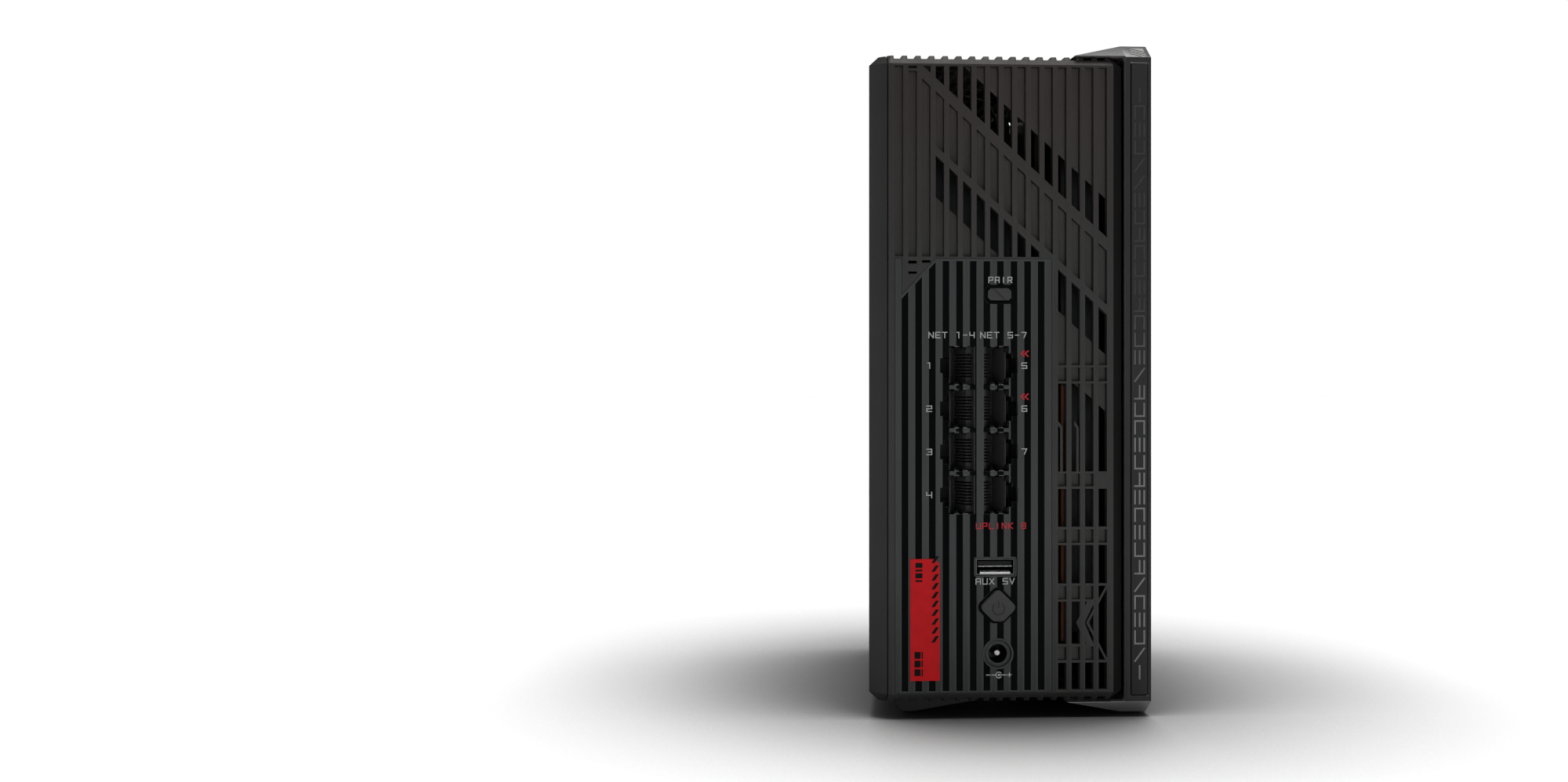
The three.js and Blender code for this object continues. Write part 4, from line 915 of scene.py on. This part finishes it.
# As shares of the bevel's length: the first line's left end, the pitch, the fall and half the width.
HATCH_START, HATCH_PITCH, HATCH_FALL, HATCH_HALF = 0.26, 0.17, 0.32, 0.03
HATCH_LIMIT = 0.06  # no line goes lower than this share
# the pale patch is a painted reflection: its ends as shares of the bevel's length, and how proud it stands
PAINTED_REFLECTION_SHARES = (0.05, 0.8)
HATCH_PROUD, PAINTED_REFLECTION_PROUD, HATCH_SUNK = 0.03, 0.015, -0.1


def on_end(share, lift):
    """A point in Y and Z on the bevelled end, lifted off it by so many millimetres."""
    slope = END_HIGH - END_LOW
    return END_LOW + slope * share + Vector((-slope.y, slope.x)).normalized() * lift


def add_hatch_line(bm, left_share):
    """One slanted line from the left side down to the right side, or to the lower limit."""
    fall = min(HATCH_FALL, left_share - HATCH_LIMIT)
    right = HATCH_LEFT + (HATCH_RIGHT - HATCH_LEFT) * fall / HATCH_FALL
    ends = [(HATCH_LEFT, left_share, 1), (HATCH_LEFT, left_share, -1)]
    ends += [(right, left_share - fall, -1), (right, left_share - fall, 1)]
    top, bottom = [], []
    for corners, lift in ((top, HATCH_PROUD), (bottom, HATCH_SUNK)):
        for x, share, side in ends:
            point = on_end(share + side * HATCH_HALF, lift)
            corners.append(bm.verts.new(mm(x, point.x, point.y)))
    bm.faces.new(top)
    bm.faces.new(bottom[::-1])
    for j in range(4):
        k = (j + 1) % 4
        bm.faces.new((top[k], top[j], bottom[j], bottom[k]))


def fin_hatch():
    """Dark slanted lines on a pale patch, on the bevelled top end of the fin at the rear; the pale patch is
    a painted reflection of the light from above.
    """
    lines = bmesh.new()
    for i in range(HATCH_LINES):
        add_hatch_line(lines, HATCH_START + HATCH_PITCH * i)
    finish_mesh(lines, "fin_hatch", BLACK_INK)
    reflection_patch = bmesh.new()
    near, far = PAINTED_REFLECTION_SHARES
    places = [(near, PAINTED_REFLECTION_PROUD), (near, HATCH_SUNK), (far, HATCH_SUNK), (far, PAINTED_REFLECTION_PROUD)]
    section = [tuple(on_end(share, lift)) for share, lift in places]
    add_prism(reflection_patch, section, HATCH_LEFT, HATCH_RIGHT, "x")
    finish_mesh(reflection_patch, "fin_end_painted_reflection", WHITE_INK_AND_PAINTED_REFLECTION)


fin_relief()
fin_hatch()

# ---------------------------------------------------------------- floor

FLOOR_HALF = 6.0  # metres
FLOOR_TONE = (0.8, 0.8, 0.8)
PAINTED_SHADOW_REACH, PAINTED_SHADOW_DEPTH = 0.14, 3.6  # how far, in metres, and how strongly the painted shadow darkens the floor's colour


def floor_with_painted_shadow():
    """Pale floor with a painted shadow: its colour turns darker beside the object, where less of its
    surroundings can be seen.
    """
    material, tree, shader = new_material("pale_floor_painted_shadow")
    occlusion = add(tree, "ShaderNodeAmbientOcclusion", samples=16)
    occlusion.inputs["Distance"].default_value = PAINTED_SHADOW_REACH
    # painted shadow: the occlusion, raised to a power, darkens the floor's colour
    contact = add(tree, "ShaderNodeMath", operation="POWER")
    tree.links.new(occlusion.outputs["AO"], contact.inputs[0])
    contact.inputs[1].default_value = PAINTED_SHADOW_DEPTH
    tree.links.new(shade(tree, FLOOR_TONE, contact.outputs[0]), shader.inputs["Base Color"])
    shader.inputs["Roughness"].default_value = 0.6
    return material


def add_floor():
    mesh = bpy.data.meshes.new("floor")
    signs = ((-1, -1), (1, -1), (1, 1), (-1, 1))
    mesh.from_pydata([(FLOOR_HALF * x, FLOOR_HALF * y, 0) for x, y in signs], [], [(0, 1, 2, 3)])
    mesh.materials.append(floor_with_painted_shadow())
    floor = bpy.data.objects.new("floor", mesh)
    bpy.context.scene.collection.objects.link(floor)


add_floor()

# ---------------------------------------------------------------- lights and surroundings

OBJECT_MIDDLE = (0.0, 0.0, 0.11)
REAR_FOOT = (0.0, REAR * MM, 0.04)  # low on the socket face
FILL_SIZE, LOW_SIZE = (0.7, 0.9), (0.3, 0.03)
FILL_LEFT, FILL_RIGHT, FILL_LOW = 0.4, 1.2, 0.22  # watts
OVERHEAD = 3.5  # watts a square metre
OVERHEAD_TILT = math.radians(4.0)  # towards the fin side
OVERHEAD_ANGLE = math.radians(34.0)
HORIZON, SKY = 1.02, 0.12  # strength of the surroundings near the horizon and overhead
SKY_START, SKY_END = 0.24, 0.45  # between which Z parts of the direction one turns into the other


def area_light(name, place, target, size, power):
    data = bpy.data.lights.new(name, "AREA")
    data.shape = "RECTANGLE"
    data.size, data.size_y = size
    data.energy = power
    lamp = bpy.data.objects.new(name, data)
    lamp.location = place
    lamp.rotation_mode = "QUATERNION"
    lamp.rotation_quaternion = (Vector(target) - Vector(place)).to_track_quat("-Z", "Y")
    bpy.context.scene.collection.objects.link(lamp)
    return lamp


def overhead_light():
    """Broad soft light from above."""
    data = bpy.data.lights.new("overhead", "SUN")
    data.energy = OVERHEAD
    data.angle = OVERHEAD_ANGLE
    lamp = bpy.data.objects.new("overhead", data)
    lamp.rotation_euler = (0.0, OVERHEAD_TILT, 0.0)
    bpy.context.scene.collection.objects.link(lamp)


def surroundings():
    """White all round, and dimmer overhead."""
    world = bpy.data.worlds.new("studio")
    world.use_nodes = True
    tree = world.node_tree
    background = tree.nodes["Background"]
    background.inputs["Color"].default_value = (1.0, 1.0, 1.0, 1.0)
    direction = add(tree, "ShaderNodeSeparateXYZ")
    tree.links.new(add(tree, "ShaderNodeTexCoord").outputs["Generated"], direction.inputs["Vector"])
    strength = ramp(tree, direction.outputs["Z"], HORIZON, SKY, SKY_START, SKY_END)
    tree.links.new(strength, background.inputs["Strength"])
    bpy.context.scene.world = world


area_light("front_left", (-1.3, -1.2, 0.9), OBJECT_MIDDLE, FILL_SIZE, FILL_LEFT)
area_light("front_right", (1.2, -1.3, 0.7), OBJECT_MIDDLE, FILL_SIZE, FILL_RIGHT)
low_fill = area_light("front_low", (0.0, -0.36, 0.035), REAR_FOOT, LOW_SIZE, FILL_LOW)
low_fill.visible_camera = False
low_fill.visible_glossy = False
overhead_light()
surroundings()
bpy.context.scene.view_settings.view_transform = "Standard"

# ---------------------------------------------------------------- camera

CAMERA_PLACE = mm(-112.75, -652.0, 114.5)
CAMERA_YAW = math.radians(3.815)  # turned from +Y towards +X
CAMERA_LENS, CAMERA_SENSOR = 41.4, 36.0
CAMERA_SHIFT = -0.016


def add_camera():
    data = bpy.data.cameras.new("camera")
    data.sensor_width = CAMERA_SENSOR
    data.lens = CAMERA_LENS
    data.shift_y = CAMERA_SHIFT
    data.clip_start = 0.01
    camera = bpy.data.objects.new("camera", data)
    camera.location = CAMERA_PLACE
    camera.rotation_euler = (math.radians(90.0), 0.0, -CAMERA_YAW)
    bpy.context.scene.collection.objects.link(camera)
    bpy.context.scene.camera = camera


add_camera()
